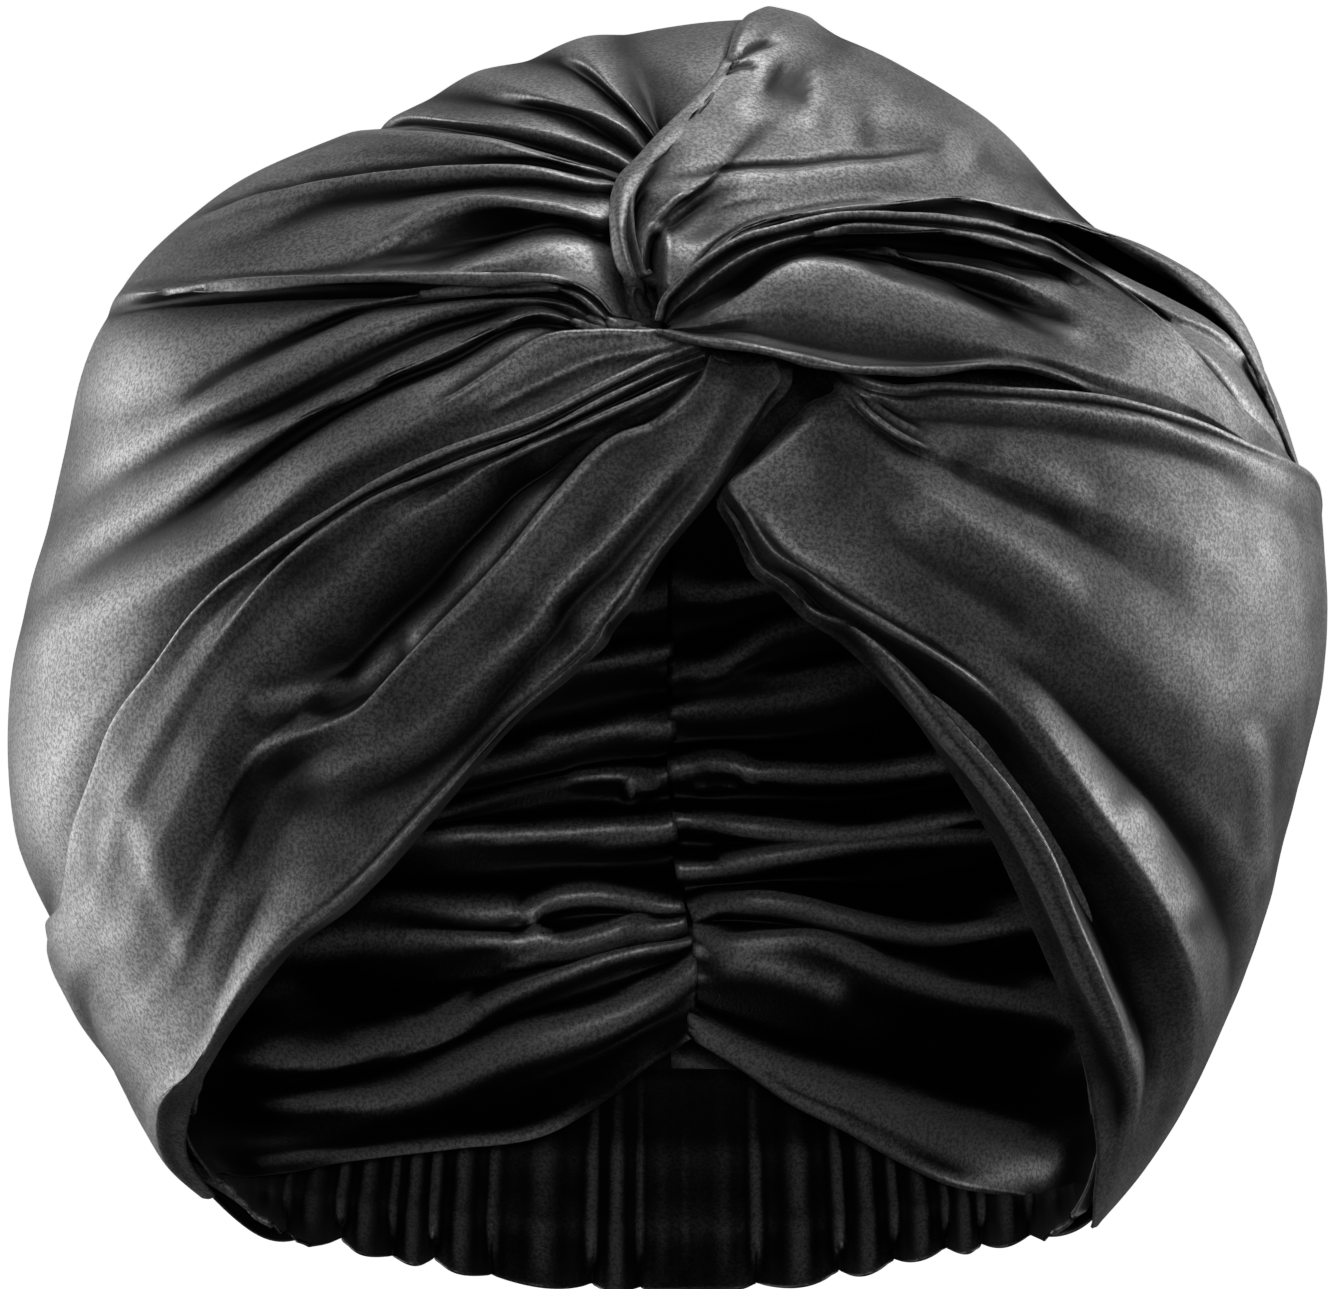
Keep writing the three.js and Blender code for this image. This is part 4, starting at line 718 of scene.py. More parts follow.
# ---- Wrap over the knot ------------------------------------------------------
# A leaf of the same satin with a double roll along its top. Both its edges are
# turned under, and it lies over the place where the two bands come out.
WRAP_RIGHT_FOLDS = [
    ("wrap top edge", 0.5, [
        (-0.5, 159.5, 2), (0.5, 163, 3), (2.5, 165.5, 4), (6, 169, 5), (13, 173.5, 5.5),
        (20, 175.5, 5.8), (27.5, 177.5, 5.8), (34.5, 178, 5.5), (42.5, 178.5, 5.2), (51, 178, 5),
        (59.5, 177, 4.8), (64.5, 176, 4.5), (69, 175, 4.2), (73.5, 172.5, 4), (78, 170, 3.6),
        (87, 163.5, 3), (91.5, 159.5, 2.4), (96, 155, 1.8), (103, 147, 1), (109.5, 141.6, 0.3),
    ], [(115, 116, -0.5)]),
    ("first groove", 0.4, [
        (0, 159.5, 1), (1, 162.5, 1.6), (3.5, 165, 2.6), (7, 168, 3.4), (14, 172.5, 4),
        (21.5, 175, 4.4), (28.5, 176.5, 4.4), (35.5, 177, 4.2), (43, 177.5, 4), (51.5, 177, 3.8),
        (59.5, 176, 3.7), (65.5, 174.5, 3.5), (70, 173, 3.3), (74.5, 171, 3.2), (79, 168.5, 3),
        (87, 162.5, 2.6), (92, 158, 2.2), (97, 153.5, 1.7), (103.5, 146, 0.9), (109.5, 140.9, 0.2),
    ], [(115, 115, -0.6)]),
    ("second roll", 0.3, [
        (0, 159.5, 1.5), (2, 162, 2.3), (4.5, 164, 3.3), (8, 167, 4.3), (15, 171.5, 5), (22, 174, 5.3),
        (29, 175.5, 5.3), (36, 176, 5), (43.5, 176, 4.8), (51.5, 176, 4.5), (59.5, 174.5, 4.2),
        (65, 173, 3.9), (70.5, 171.5, 3.6), (75.5, 169, 3.4), (80, 166.5, 3), (87, 161, 2.5),
        (92, 157, 2.1), (97, 152.5, 1.7), (103.5, 145.5, 0.9), (109.5, 140.4, 0.1),
    ], [(115.5, 114, -0.7)]),
    ("wrap hollow", 0.7, [
        (0.5, 159, 1), (3.5, 161.5, 0.5), (7, 163.5, -0.5), (12, 166.5, -3), (17, 170.5, -4.5),
        (24, 173.5, -5), (33, 174.5, -5.5), (43, 174, -5.5), (52, 173.5, -5.5), (60, 172.5, -4.5),
        (67.5, 170.5, -1.5), (72, 168, 1), (76, 165.5, 2), (80.5, 163, 2.4), (87, 159, 2.3),
        (92, 155.5, 2), (97, 151, 1.6), (103.5, 145, 0.8), (109.3, 139.8, 0),
    ], [(115.5, 113, -0.8)]),
    ("ridge in the hollow", 0.3, [
        (0.5, 159, 1.5), (4, 160.5, 1.5), (8, 162.5, 1), (13, 165.5, -1.5), (18, 169.5, -4),
        (25.5, 172.5, -4.8), (34.5, 173.5, -3.5), (39, 173, -1.2), (42.5, 171.5, 0.6), (52.5, 170, 1.6),
        (59.5, 168.5, 2), (68.5, 165.5, 2.6), (77.5, 161, 2.6), (86.5, 155.5, 2.3), (94, 150, 1.6),
        (102.5, 144, 0.7), (109.1, 139.2, -0.1),
    ], [(116, 112, -0.9)]),
    ("second hollow", 0.6, [
        (1, 159, 2), (4.5, 160, 2.5), (8.5, 162, 2.6), (13.5, 164.5, 0.5), (18.5, 169, -2),
        (25.5, 172, -3.5), (34.5, 172, -4.5), (42.5, 170, -4.5), (51, 167.5, -4.5), (59.5, 164.5, -1.5),
        (68.5, 161.5, 1.2), (77.5, 157, 2), (86.5, 152.5, 2), (94, 148.5, 1.4), (102, 143, 0.6),
        (108.6, 138.7, -0.2),
    ], [(116, 111, -1)]),
    ("wrap body top", 0.3, [
        (1, 158.5, 2.6), (4.5, 159.5, 3.6), (9, 161.5, 4.6), (14, 164.5, 4.8), (18.5, 167.5, 5),
        (24, 170, 5.2), (32.5, 169, 5.4), (42, 166.5, 5.6), (50, 163.5, 5.2), (59, 160.5, 4.2),
        (68, 157.5, 3.2), (77, 154, 2.7), (86.5, 150, 2), (94, 146.5, 1.3), (101.5, 142.5, 0.5),
        (108.2, 138.1, -0.3),
    ], [(116, 110, -1.2)]),
    ("wrap body", 0.3, [
        (0.5, 158, 3), (6, 158.5, 4.6), (12, 160, 5.6), (20, 161.5, 6), (32.5, 160.5, 6.3),
        (46.5, 158, 6.3), (59, 155.5, 6), (68, 153.5, 4.6), (77, 151, 3.4), (86.5, 148.5, 2),
        (94, 145.5, 1.1), (101, 142, 0.4), (108, 137.5, -0.5),
    ], [(116, 109, -1.4)]),
    ("crease above the edge", 0.4, [
        (0, 158, 3), (6, 157.5, 3.6), (13, 157.5, 4.2), (22, 155.5, 4.8), (33.5, 153.5, 5),
        (46.5, 152.5, 5), (59, 153.5, 5.4), (68, 152, 3.8), (76, 149, 2.2), (86.5, 146, 0.8),
        (94, 144, 0.2), (100.5, 141, -0.4), (107, 137, -1.2),
    ], [(116, 107.5, -1.8)]),
    ("wrap lower edge", 0.5, [
        (-1, 158, 3), (4.5, 156.5, 4.2), (9, 155.5, 5), (18.5, 154, 6.2), (23.5, 152.5, 6.8),
        (33.5, 151, 6.9), (42, 150.5, 6.6), (50, 151, 6.2), (57, 152, 5.6), (68, 151, 4),
        (73.5, 149, 2.6), (78, 146.5, 0.8), (86.5, 144, -0.6), (96, 141, -1), (106.5, 136, -1.8),
    ], [(116, 106, -2.4)]),
]  # fmt: skip
WRAP_RIGHT_CREASES = [
    ("top roll line", 0.3, 0.5, 0, [
        (0, 161), (2.5, 166), (6, 169), (13, 173.5), (20.5, 176), (27.5, 177.5), (34.5, 178.5),
        (42.5, 178.5), (51, 178.5), (60, 177.5), (69.5, 175), (78.5, 170), (87, 163.5), (91, 160.5),
    ]),
    ("second roll line", 0.3, 0.5, 0, [
        (4.5, 164.5), (8, 167), (15, 171.5), (22, 174), (29, 175.5), (36, 176.5), (43.5, 176.5),
        (51.5, 176), (60, 175),
    ]),
    ("thin line in the hollow", 0.7, 0.6, 0.4, [
        (36, 173.5), (40, 172.5), (42.5, 171.5), (52.5, 170), (59.5, 168.5), (67, 166),
    ]),
    ("hollow dark", -1.3, 2.4, 0, [
        (22, 173.5), (32.5, 175), (42.5, 174.5), (51.5, 173.5), (60, 172.5), (67, 170), (72.5, 167),
    ]),
    ("hollow dark 2", -1.3, 2.2, 0, [
        (32.5, 171), (42.5, 169), (50.5, 166.5), (59.5, 163.5), (68.5, 160), (75.5, 156.5),
    ]),
    ("edge line", 0.4, 0.6, -0.3, [
        (2.5, 157), (9.5, 156), (18.5, 154), (24, 153), (33.5, 151), (42, 151), (50, 151.5),
        (57.5, 152), (68, 151), (75.5, 147.5),
    ]),
]  # fmt: skip

grid = lay_fabric(WRAP_RIGHT_FOLDS, across=110, steps=160)
grid = slacken(press_creases(grid, WRAP_RIGHT_CREASES), size=11, depth=0.1, seed=3)
grid = turn_under(grid, radius=0.7, tuck=1.8, first=True, last=True)
# Painted shade: the whole wrap is painted darker, a little less so towards its right end.
piece_painted_light = painted_light_from(grid[..., 0], start=40, end=80, low=-0.13, high=-0.06)
wrap_right = sew("knot_wrap", grid, wall=0.5, material=black_satin, added_painted_light=piece_painted_light)
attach(wrap_right, "root")
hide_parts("wrap_right")

# ---- Left front band ---------------------------------------------------------
# The lower limb of one half: satin drawn tight from under the wrap down to the
# left corner of the opening. Its free edge is turned under.
BAND_LEFT_FOLDS = [
    ("band top edge", 0.5, [
        (6.5, 155.5, 0.5), (-7, 149.5, 1.5), (-22.5, 142, 2.2), (-38, 136.5, 2.5), (-50, 131, 2.5),
        (-61.5, 124, 2.5), (-72.5, 117, 2.4), (-82, 109.5, 2.2), (-91, 98.5, 1.9), (-98, 90, 1.5),
        (-102.5, 80, 1), (-107, 69, 0.4), (-109.4, 58, 0), (-113.9, 48.5, -0.3),
    ], [(-108.2, 33, 0.8), (-94.4, 16, -1.6), (-78.4, 1, -2.6)]),
    ("first groove", 0.4, [
        (7, 154.5, -0.3), (-7, 148.5, 0.6), (-22.5, 140.5, 1.1), (-38, 135, 1.3), (-51.5, 128.5, 1.4),
        (-64, 120.5, 1.4), (-77.5, 110, 1.5), (-89.5, 95, 1.5), (-99.5, 79, 1), (-104, 64, 0.2),
        (-112.9, 44.5, 0.5),
    ], [(-106, 29, 0.3), (-94, 14, -1.4), (-80.6, 1, -2.3)]),
    ("second ridge", 0.3, [
        (7, 153.5, 0.5), (-7, 147.5, 1.8), (-22.5, 139.5, 2.6), (-38, 133.5, 2.8), (-54, 126, 2.8),
        (-66, 117.5, 2.6), (-74.5, 108.5, 2.3), (-83, 98, 2), (-91.5, 85, 1.7), (-98.5, 71.5, 1.2),
        (-102.5, 59, 0.6), (-113.1, 43, 1.3),
    ], [(-102.2, 25, -1.2), (-93.4, 12, -1.2), (-82.3, 1, -2)]),
    ("second groove", 0.5, [
        (7.5, 152.5, -1), (-4.5, 147, -0.6), (-18.5, 140, -0.5), (-34, 133.5, -0.3), (-50, 125.5, 1.3),
        (-62, 117, 1.6), (-71, 108, 1.6), (-79.5, 97.5, 1.5), (-87.5, 84.5, 1.1), (-95, 70, 0.8),
        (-99.5, 56, 0.3), (-109.7, 37, 1),
    ], [(-99, 20, -1.4), (-93.5, 10, -0.2), (-83.7, 1, -1.6)]),
    ("third ridge", 0.3, [
        (7.5, 151.5, 0.5), (-2.5, 146.5, 1.3), (-11.5, 142.5, 1.6), (-25.5, 136.5, 1.6),
        (-39, 128.5, 0.6), (-51.5, 119.5, 0.9), (-62, 110, 1.2), (-72, 99, 1.3), (-81, 84.5, 1.3),
        (-89.5, 69, 1.2), (-95, 54.5, 0.7), (-104.4, 31, -0.8), (-96.9, 16, -1),
    ], [(-92.8, 8, 0.3), (-84.9, 1, -1.2)]),
    ("deep hollow", 0.5, [
        (7.5, 150.5, -1), (-1.5, 144.5, -3), (-11.5, 140, -5), (-22, 132, -7), (-34, 121, -8),
        (-44.5, 110, -8), (-55, 99.5, -6.5), (-63.5, 92, -3.4), (-74.5, 82.5, -0.8), (-81, 68.5, -0.6),
        (-87, 52, -0.2), (-102.2, 27, -0.5), (-95.6, 13, -0.2),
    ], [(-89.9, 6, -0.8), (-85.4, 1, -1)]),
    ("sharp ridge", 0.5, [
        (8, 153.5, 1.6), (6, 148.5, 1.6), (3, 145, 1.2), (-2.5, 141, 0), (-8, 139, 0), (-18.5, 129, 1),
        (-28, 117.5, 1.2), (-39.5, 105.5, 1), (-49, 96, 0.8), (-52.5, 91.5, 0.9), (-59, 88.5, 0.4),
        (-67, 85.5, -0.6), (-75.5, 76, -2), (-80, 63.5, -0.9), (-85, 49, -0.2), (-100.8, 25, -0.3),
        (-95.2, 12, 0.2), (-85.8, 1, -0.8),
    ], []),
    ("ridge shoulder", 0.3, [
        (9.5, 152.5, 1), (7.5, 147.5, 1.1), (4.5, 143.5, 0.8), (-1.5, 138, 0.7), (-11, 127, 1.2),
        (-23, 113, 1.4), (-34.5, 102, 1.4), (-44, 93, 1), (-51, 88, 0.6), (-58.5, 85, -1),
        (-66.5, 80, -3.4), (-73.5, 70, -3.6), (-78.5, 59, -1.7), (-83.5, 45.5, -0.4), (-98.4, 22, -0.1),
        (-94.6, 11, 0.5), (-85.9, 1, -0.7),
    ], []),
    ("soft ridge", 0.3, [
        (12, 152, 1), (10, 146, 1.4), (6.5, 139.5, 1.8), (-2.5, 129.5, 2.2), (-11, 120, 2.2),
        (-20.5, 109.5, 2.2), (-28.5, 101, 2), (-37, 93, 1.7), (-46, 85.5, 1), (-55.5, 81, -0.9),
        (-64.5, 74.5, -3.9), (-71, 65, -3.3), (-77, 54.5, -1.3), (-82, 41.5, -0.3), (-96.4, 20, 0.1),
        (-93.9, 10, 0.8), (-86, 1, -0.5),
    ], []),
    ("lower crease", 0.5, [
        (14.5, 152, 0.8), (12.5, 145, 0.9), (9, 138, 0.9), (1, 127.5, 0.9), (-8, 117, 0.6),
        (-18, 106.5, -0.4), (-26.5, 96.5, -1.4), (-34, 88, -2.4), (-43, 81, -3), (-54.5, 75, -3),
        (-63.5, 68, -2.8), (-70.5, 59, -2.4), (-75.5, 49, -1.2), (-81, 36.5, 0), (-94.9, 18.5, 0.4),
        (-93.4, 9.5, 1.1), (-85.9, 1, -0.4),
    ], []),
    ("front roll", 0.3, [
        (17, 152, 1), (15, 144, 1.4), (10.5, 135.5, 1.8), (4.5, 126.5, 1.8), (-4, 116, 1.7),
        (-14, 103.5, 1.4), (-25, 92.5, 0.8), (-32, 85, 0), (-42, 75.5, -0.6), (-52.5, 65, -0.6),
        (-62, 57, 0), (-71, 48, 0.7), (-78, 38, 1.2), (-84, 27.5, 1.2), (-93.8, 17.5, 0.9),
        (-92.5, 8.5, 1.4), (-85.6, 1, -0.4),
    ], []),
    ("opening edge", 0.4, [
        (19, 152.5, 0), (20, 149.5, 0.6), (17.5, 145.5, 0.9), (12.5, 137.5, 1.1), (8, 130, 1.1),
        (-2, 117, 1.1), (-11.5, 103.5, 1), (-28, 88.5, 0.7), (-39.5, 75.5, 0.3), (-55, 59, 0.2),
        (-67.5, 49, 0.5), (-75.5, 40, 0.8), (-82, 30, 1), (-92.4, 17, 1.1), (-91.7, 8, 1.6),
        (-85.2, 1, -0.4),
    ], []),
    ("under the edge", 0.4, [
        (19.5, 152, -2.4), (20.5, 149.5, -2), (18, 145.5, -2.2), (13.5, 137.5, -2.3),
        (8.5, 129.5, -2.3), (-1.5, 117, -2.3), (-10.5, 103, -2.4), (-27.5, 88, -2.6), (-39, 75, -3),
        (-54, 58.5, -3.2), (-67, 48.5, -3), (-74.5, 39, -2), (-81.5, 29.5, -1.2), (-89.4, 17, -0.6),
        (-89.2, 8, 0), (-83.8, 1, -1.2),
    ], []),
    ("turned in strip", 0.4, [
        (22.5, 151.5, -2.6), (22, 148, -2.6), (18.5, 144, -2.8), (14, 137.5, -3.4), (11.5, 133.5, -4.4),
        (9, 129.5, -5.5), (-1, 117, -5.6), (-10, 103, -6), (-27, 88, -6.4), (-38.5, 74.5, -6.8),
        (-53.5, 58, -7.2), (-66.5, 48, -6.8), (-74, 38.5, -5.2), (-81, 28.5, -3.2), (-86.4, 17, -2.2),
        (-87.1, 8, -1.2), (-82.8, 1.5, -2),
    ], []),
]  # fmt: skip
BAND_LEFT_CREASES = [
    ("rim line", 0.35, 0.5, 0, [
        (4.5, 154.5), (-7, 149.5), (-22.5, 142), (-38, 136.5), (-50, 131), (-61.5, 124), (-72.5, 117),
        (-82, 110), (-91, 98.5),
    ]),
    ("second line", 0.5, 0.55, -0.4, [
        (6, 153), (-7, 147.5), (-22.5, 139.5), (-38, 133.5), (-54, 126.5), (-66, 118), (-75, 108.5),
        (-81, 100),
    ]),
    ("third line", 0.6, 0.6, -0.4, [
        (6.5, 151), (-2.5, 146.5), (-11.5, 142.5), (-22, 138), (-32, 132.5),
    ]),
    ("fourth line", 0.4, 0.5, 0, [(6, 149.5), (-1.5, 145.5), (-9.5, 141.5), (-18.5, 137.5)]),
    ("sharp line", 0.8, 0.8, -0.8, [
        (8, 153), (6, 148.5), (3, 145), (-2.5, 141), (-8, 139), (-18.5, 129), (-28, 117.5),
        (-39.5, 105.5), (-49, 96), (-53, 91.5), (-59.5, 88.5), (-66.5, 86),
    ]),
    ("kink slot", -1.6, 1.5, 0, [(-43.5, 106), (-47.5, 100.5), (-52, 96), (-57.5, 93), (-64.5, 91)]),
    ("ridge over the slot", 0.9, 2.2, 0, [(-54.5, 98), (-60.5, 95), (-68, 93), (-74.5, 92)]),
    ("soft line", 0.5, 2.2, 0, [
        (4.5, 137.5), (-2.5, 129.5), (-11.5, 120), (-21, 110), (-28.5, 101), (-37.5, 93),
    ]),
    ("weave shade", -0.5, 2, 0, [(6, 135), (-1, 126.5), (-11.5, 114), (-21.5, 102)]),
    ("side ridge", 0.45, 3.2, 0, [(-95.5, 77), (-93.5, 70), (-90, 61), (-86.5, 52), (-85.5, 42.5)]),
    ("hem line", -0.5, 0.6, 0, [
        (6, 128.5), (-3.5, 117), (-12.5, 103.5), (-29, 89.5), (-41, 76.5), (-56, 60.5), (-68.5, 50.5),
    ]),
]  # fmt: skip

grid = lay_fabric(BAND_LEFT_FOLDS, across=160, steps=170)
grid = slacken(press_creases(grid, BAND_LEFT_CREASES), size=13, depth=0.07, seed=4)
grid = turn_under(grid, radius=0.8, tuck=3, first=True, last=False)
# Painted light: the band is painted lighter, most of all low down.
piece_painted_light = painted_light_from(grid[..., 2], start=45, end=90, low=0.15, high=0.04)
band_left = sew("left_band", grid, wall=0.5, material=black_satin, added_painted_light=piece_painted_light)
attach(band_left, "root")
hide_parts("band_left")

# ---- Right front band --------------------------------------------------------
# The lower limb of the other half. Its bulge hangs over a folded tube of satin,
# which is the edge of the opening. It ends at the right corner.
BAND_RIGHT_FOLDS = [
    ("band top edge", 0.5, [
        (28.5, 152.5, -6), (31.5, 150, -2), (36, 148.5, 0.5), (41, 147.5, 1.2), (48, 148, 1.6),
        (59, 147.5, 2), (68, 147, 2.6), (78.5, 146, 3), (86, 144.5, 3), (95, 142, 3), (105, 138.5, 2.8),
        (113.5, 136, 2.6), (119.3, 133.2, 2.6),
    ], [(113, 100, 1), (105, 60, 0), (77.6, 1, -1.8)]),
    ("edge groove", 0.4, [
        (29, 152, -6.5), (32, 149, -3), (36, 147.5, -0.2), (41.5, 146.5, 0.7), (48.5, 147, 1.1),
        (59, 146.5, 1.5), (68, 146, 2), (78.5, 145, 2.4), (86, 143.5, 2.5), (95, 140.5, 2.5),
        (105, 137.5, 2.4), (113.3, 134.9, 2.3), (119.9, 131.5, 2.2),
    ], [(113, 96, 0.8), (104.5, 57, 0), (77.6, -0.5, -1.8)]),
    ("edge fold", 0.3, [
        (29, 151, -6.5), (32, 148.5, -2), (36, 147, 0.6), (42, 145.5, 1.3), (49, 146, 1.7),
        (59, 145.5, 2), (68, 145, 2.5), (78.5, 143.5, 2.8), (86, 142.5, 2.8), (95, 139.5, 2.8),
        (105, 136.5, 2.6), (112.5, 133.6, 2.4), (120.4, 129.7, 2),
    ], [(112.5, 92, 0.6), (104, 54, 0), (78.4, -1, -1.7)]),
    ("soft shade", 0.4, [
        (29, 150.5, -6), (32.5, 147.5, -1), (37.5, 145, 0.2), (44.5, 142.5, 0.2), (55.5, 141.5, 0.2),
        (68, 140.5, 0.5), (80.5, 138.5, 0.7), (95.5, 135, 1), (109, 128.5, 1), (120.7, 122.3, 1),
    ], [(111, 80, 0.4), (103, 48, 0), (79, -1.6, -1.6)]),
    ("corner pleat", 0.4, [
        (29.5, 150, -5), (32.5, 147, 0.2), (34.5, 144.5, 1.2), (38, 141.5, 1.6), (42, 139, 1.6),
        (48, 136.5, 1.2), (54.5, 134.5, 0.5), (60.5, 132.5, 0.6), (67.5, 130, 0.8), (78.5, 126.5, 0.8),
        (95, 121, 0.9), (111, 112.5, 0.7), (120.3, 103.9, 0.2),
    ], [(108, 60, 0), (101, 32, 0), (79.4, -2.2, -1.5)]),
    ("below the pleat", 0.4, [
        (29.5, 148.5, -4), (31.5, 146, -0.6), (34.5, 143, 0.2), (39, 139.5, 0.2), (45.5, 135.5, 0.2),
        (53.5, 131.5, -0.3), (62.5, 127, -0.6), (71.5, 122.5, -0.7), (82, 116.5, -0.4), (97, 107, 0.2),
        (111, 94.5, 0.3), (118.1, 83.3, -0.6),
    ], [(109.7, 50, -0.6), (95.6, 20, -0.6), (79.7, -2.8, -1.4)]),
    ("light panel", 0.3, [
        (29.5, 147.5, -3), (31, 145, 0), (34, 140.5, 0.9), (40, 134, 1.3), (48, 126.5, 1.4),
        (58.5, 118.5, 1.2), (71, 109.5, 1), (85.5, 99, 1), (101, 85.5, 0.7), (111.3, 72, -0.2),
    ], [(107.4, 42, -0.4), (95.4, 18, -0.5), (80.1, -3.2, -1.3)]),
    ("side hollow", 0.3, [
        (28, 146.5, -3), (29.5, 144, 0), (32, 137.5, 0.8), (37.5, 127.5, 1), (46, 118, 0.8),
        (57, 109.5, 0.4), (69.5, 100, 0), (82, 89.5, -0.3), (95.5, 75, -0.5), (105.8, 61.2, -0.5),
    ], [(103.8, 33, -0.4), (94.2, 15, -0.4), (80.3, -3.6, -1.2)]),
    ("dark valley", 0.5, [
        (25.5, 145.5, -3), (26.5, 143, 0), (29.5, 135.5, 0.7), (35.5, 123.5, 1.1), (44.5, 113, 1),
        (56, 104, 0.6), (66, 96, -0.8), (75, 86.5, -2.4), (83.5, 77.5, -3.8), (92, 66.5, -4.4),
        (98.5, 56, -3.8), (103.2, 45.8, -2), (100.8, 27, -0.4),
    ], [(92.8, 12, -0.4), (80.4, -4, -1.1)]),
    ("long ridge", 0.3, [
        (22, 142, -3), (23, 139.5, 0), (25.5, 132.5, 0.8), (32.5, 120.5, 1.2), (41.5, 110.5, 1.3),
        (52.5, 101.5, 1.1), (61.5, 93.5, 0.8), (69.5, 84, 0.9), (78, 72, 1.3), (86, 61, 1.4),
        (93, 49, 1.2), (97, 38.5, 0.6), (97.6, 22, -0.2), (91, 9, -0.2),
    ], [(80.5, -4.2, -1)]),
    ("bulge edge", 0.5, [
        (13.5, 133.5, -3), (11, 130.5, -1), (14, 126, 0), (19, 119, 0.8), (29, 112, 1), (37, 107, 1.2),
        (51, 98.5, 1.2), (59.5, 91.5, 0.8), (64.5, 85.5, 0.2), (71.5, 76.5, 0), (78.5, 67.5, 0.4),
        (85.5, 58.5, 0.6), (91, 49.5, 0.5), (94.5, 40.5, 0.3), (95.1, 20, -0.2), (89.1, 7, -0.3),
    ], [(80.6, -4.3, -0.9)]),
    ("inner wall", 0.5, [
        (13, 133, -5), (10.5, 130, -4), (13.5, 125, -3.5), (19, 117.5, -3.5), (28.5, 110.5, -4),
        (36, 105.5, -4.5), (50, 96, -5.5), (58.5, 88, -6.5), (65.5, 78, -7), (73, 68, -7),
        (79.5, 58, -6.5), (85, 48, -5.5), (88.5, 38.5, -4), (90.6, 19, -1.6), (87, 6, -0.8),
        (80.6, -4.4, -0.9),
    ], []),
    ("hollow floor", 0.5, [
        (13, 132.5, -6), (10, 129.5, -6.5), (13, 124.5, -6.5), (18.5, 116.5, -6.5), (27, 109.5, -7),
        (35, 103.5, -8), (46, 94.5, -11), (55.5, 84.5, -12.5), (64, 73.5, -12.5), (71.5, 62, -12),
        (78, 50, -10.5), (83, 39, -8), (86.5, 29.5, -5), (86.1, 15, -2), (84.9, 5, -1.2),
        (80.3, -4.5, -1),
    ], []),
    ("tube ridge", 0.3, [
        (12.5, 132, -7), (10, 129, -7), (12.5, 123.5, -6.5), (18, 115.5, -6), (25.5, 109, -5.5),
        (33, 106, -5), (41.5, 99, -3.6), (50, 88.5, -2.8), (59, 78.5, -2.4), (67, 66.5, -2.4),
        (72.5, 55, -2.4), (78, 43, -2.3), (82.5, 32.5, -2.5), (85.5, 23, -2.4), (84.7, 12, -1.9),
        (82.8, 3, -1.3), (80.1, -4.6, -1),
    ], []),
    ("tube side", 0.3, [
        (12, 132, -7.6), (9.5, 129, -7.6), (12.5, 123.5, -7), (17.5, 115, -6.4), (25.5, 109, -6),
        (32.5, 105.5, -5.2), (40, 98, -4), (48.5, 87.5, -3.2), (57, 77, -2.9), (65, 65.5, -2.9),
        (70.5, 54.5, -3), (75.5, 42, -2.9), (80.5, 32, -3.2), (84, 22, -2.8), (83.7, 11.5, -2),
        (81.7, 2.5, -1.5), (79.8, -4.7, -1.1),
    ], []),
    ("tube under", 0.5, [
        (12, 131.5, -8.6), (9.5, 128.5, -8.6), (12, 122.5, -8.2), (17, 114.5, -8), (24.5, 108, -8),
        (31.5, 104.5, -7.4), (38.5, 97, -7), (46.5, 86.5, -6.8), (55, 76, -6.8), (62, 64, -6.8),
        (67.5, 53, -6.8), (73, 41, -6.4), (78, 30.5, -6), (81.5, 21, -4.6), (81.4, 11, -2.8),
        (80.3, 2, -1.9), (79.4, -4.7, -1.3),
    ], []),
    ("opening edge", 0.4, [
        (11.5, 131, -9), (9, 128, -9), (12, 122, -8.5), (16.5, 114, -8.5), (24, 107.5, -8.5),
        (30, 103.5, -8.5), (35.5, 98.5, -8.5), (42, 92, -8.7), (50, 80.5, -9), (56.5, 70.5, -9),
        (62, 59.5, -9), (67.5, 47.5, -8.8), (72, 37.5, -8), (75.5, 27, -6.8), (77.5, 18, -5),
        (78.6, 10, -3.6), (78.5, 1.5, -2.4), (78.9, -4.8, -1.5),
    ], []),
]  # fmt: skip
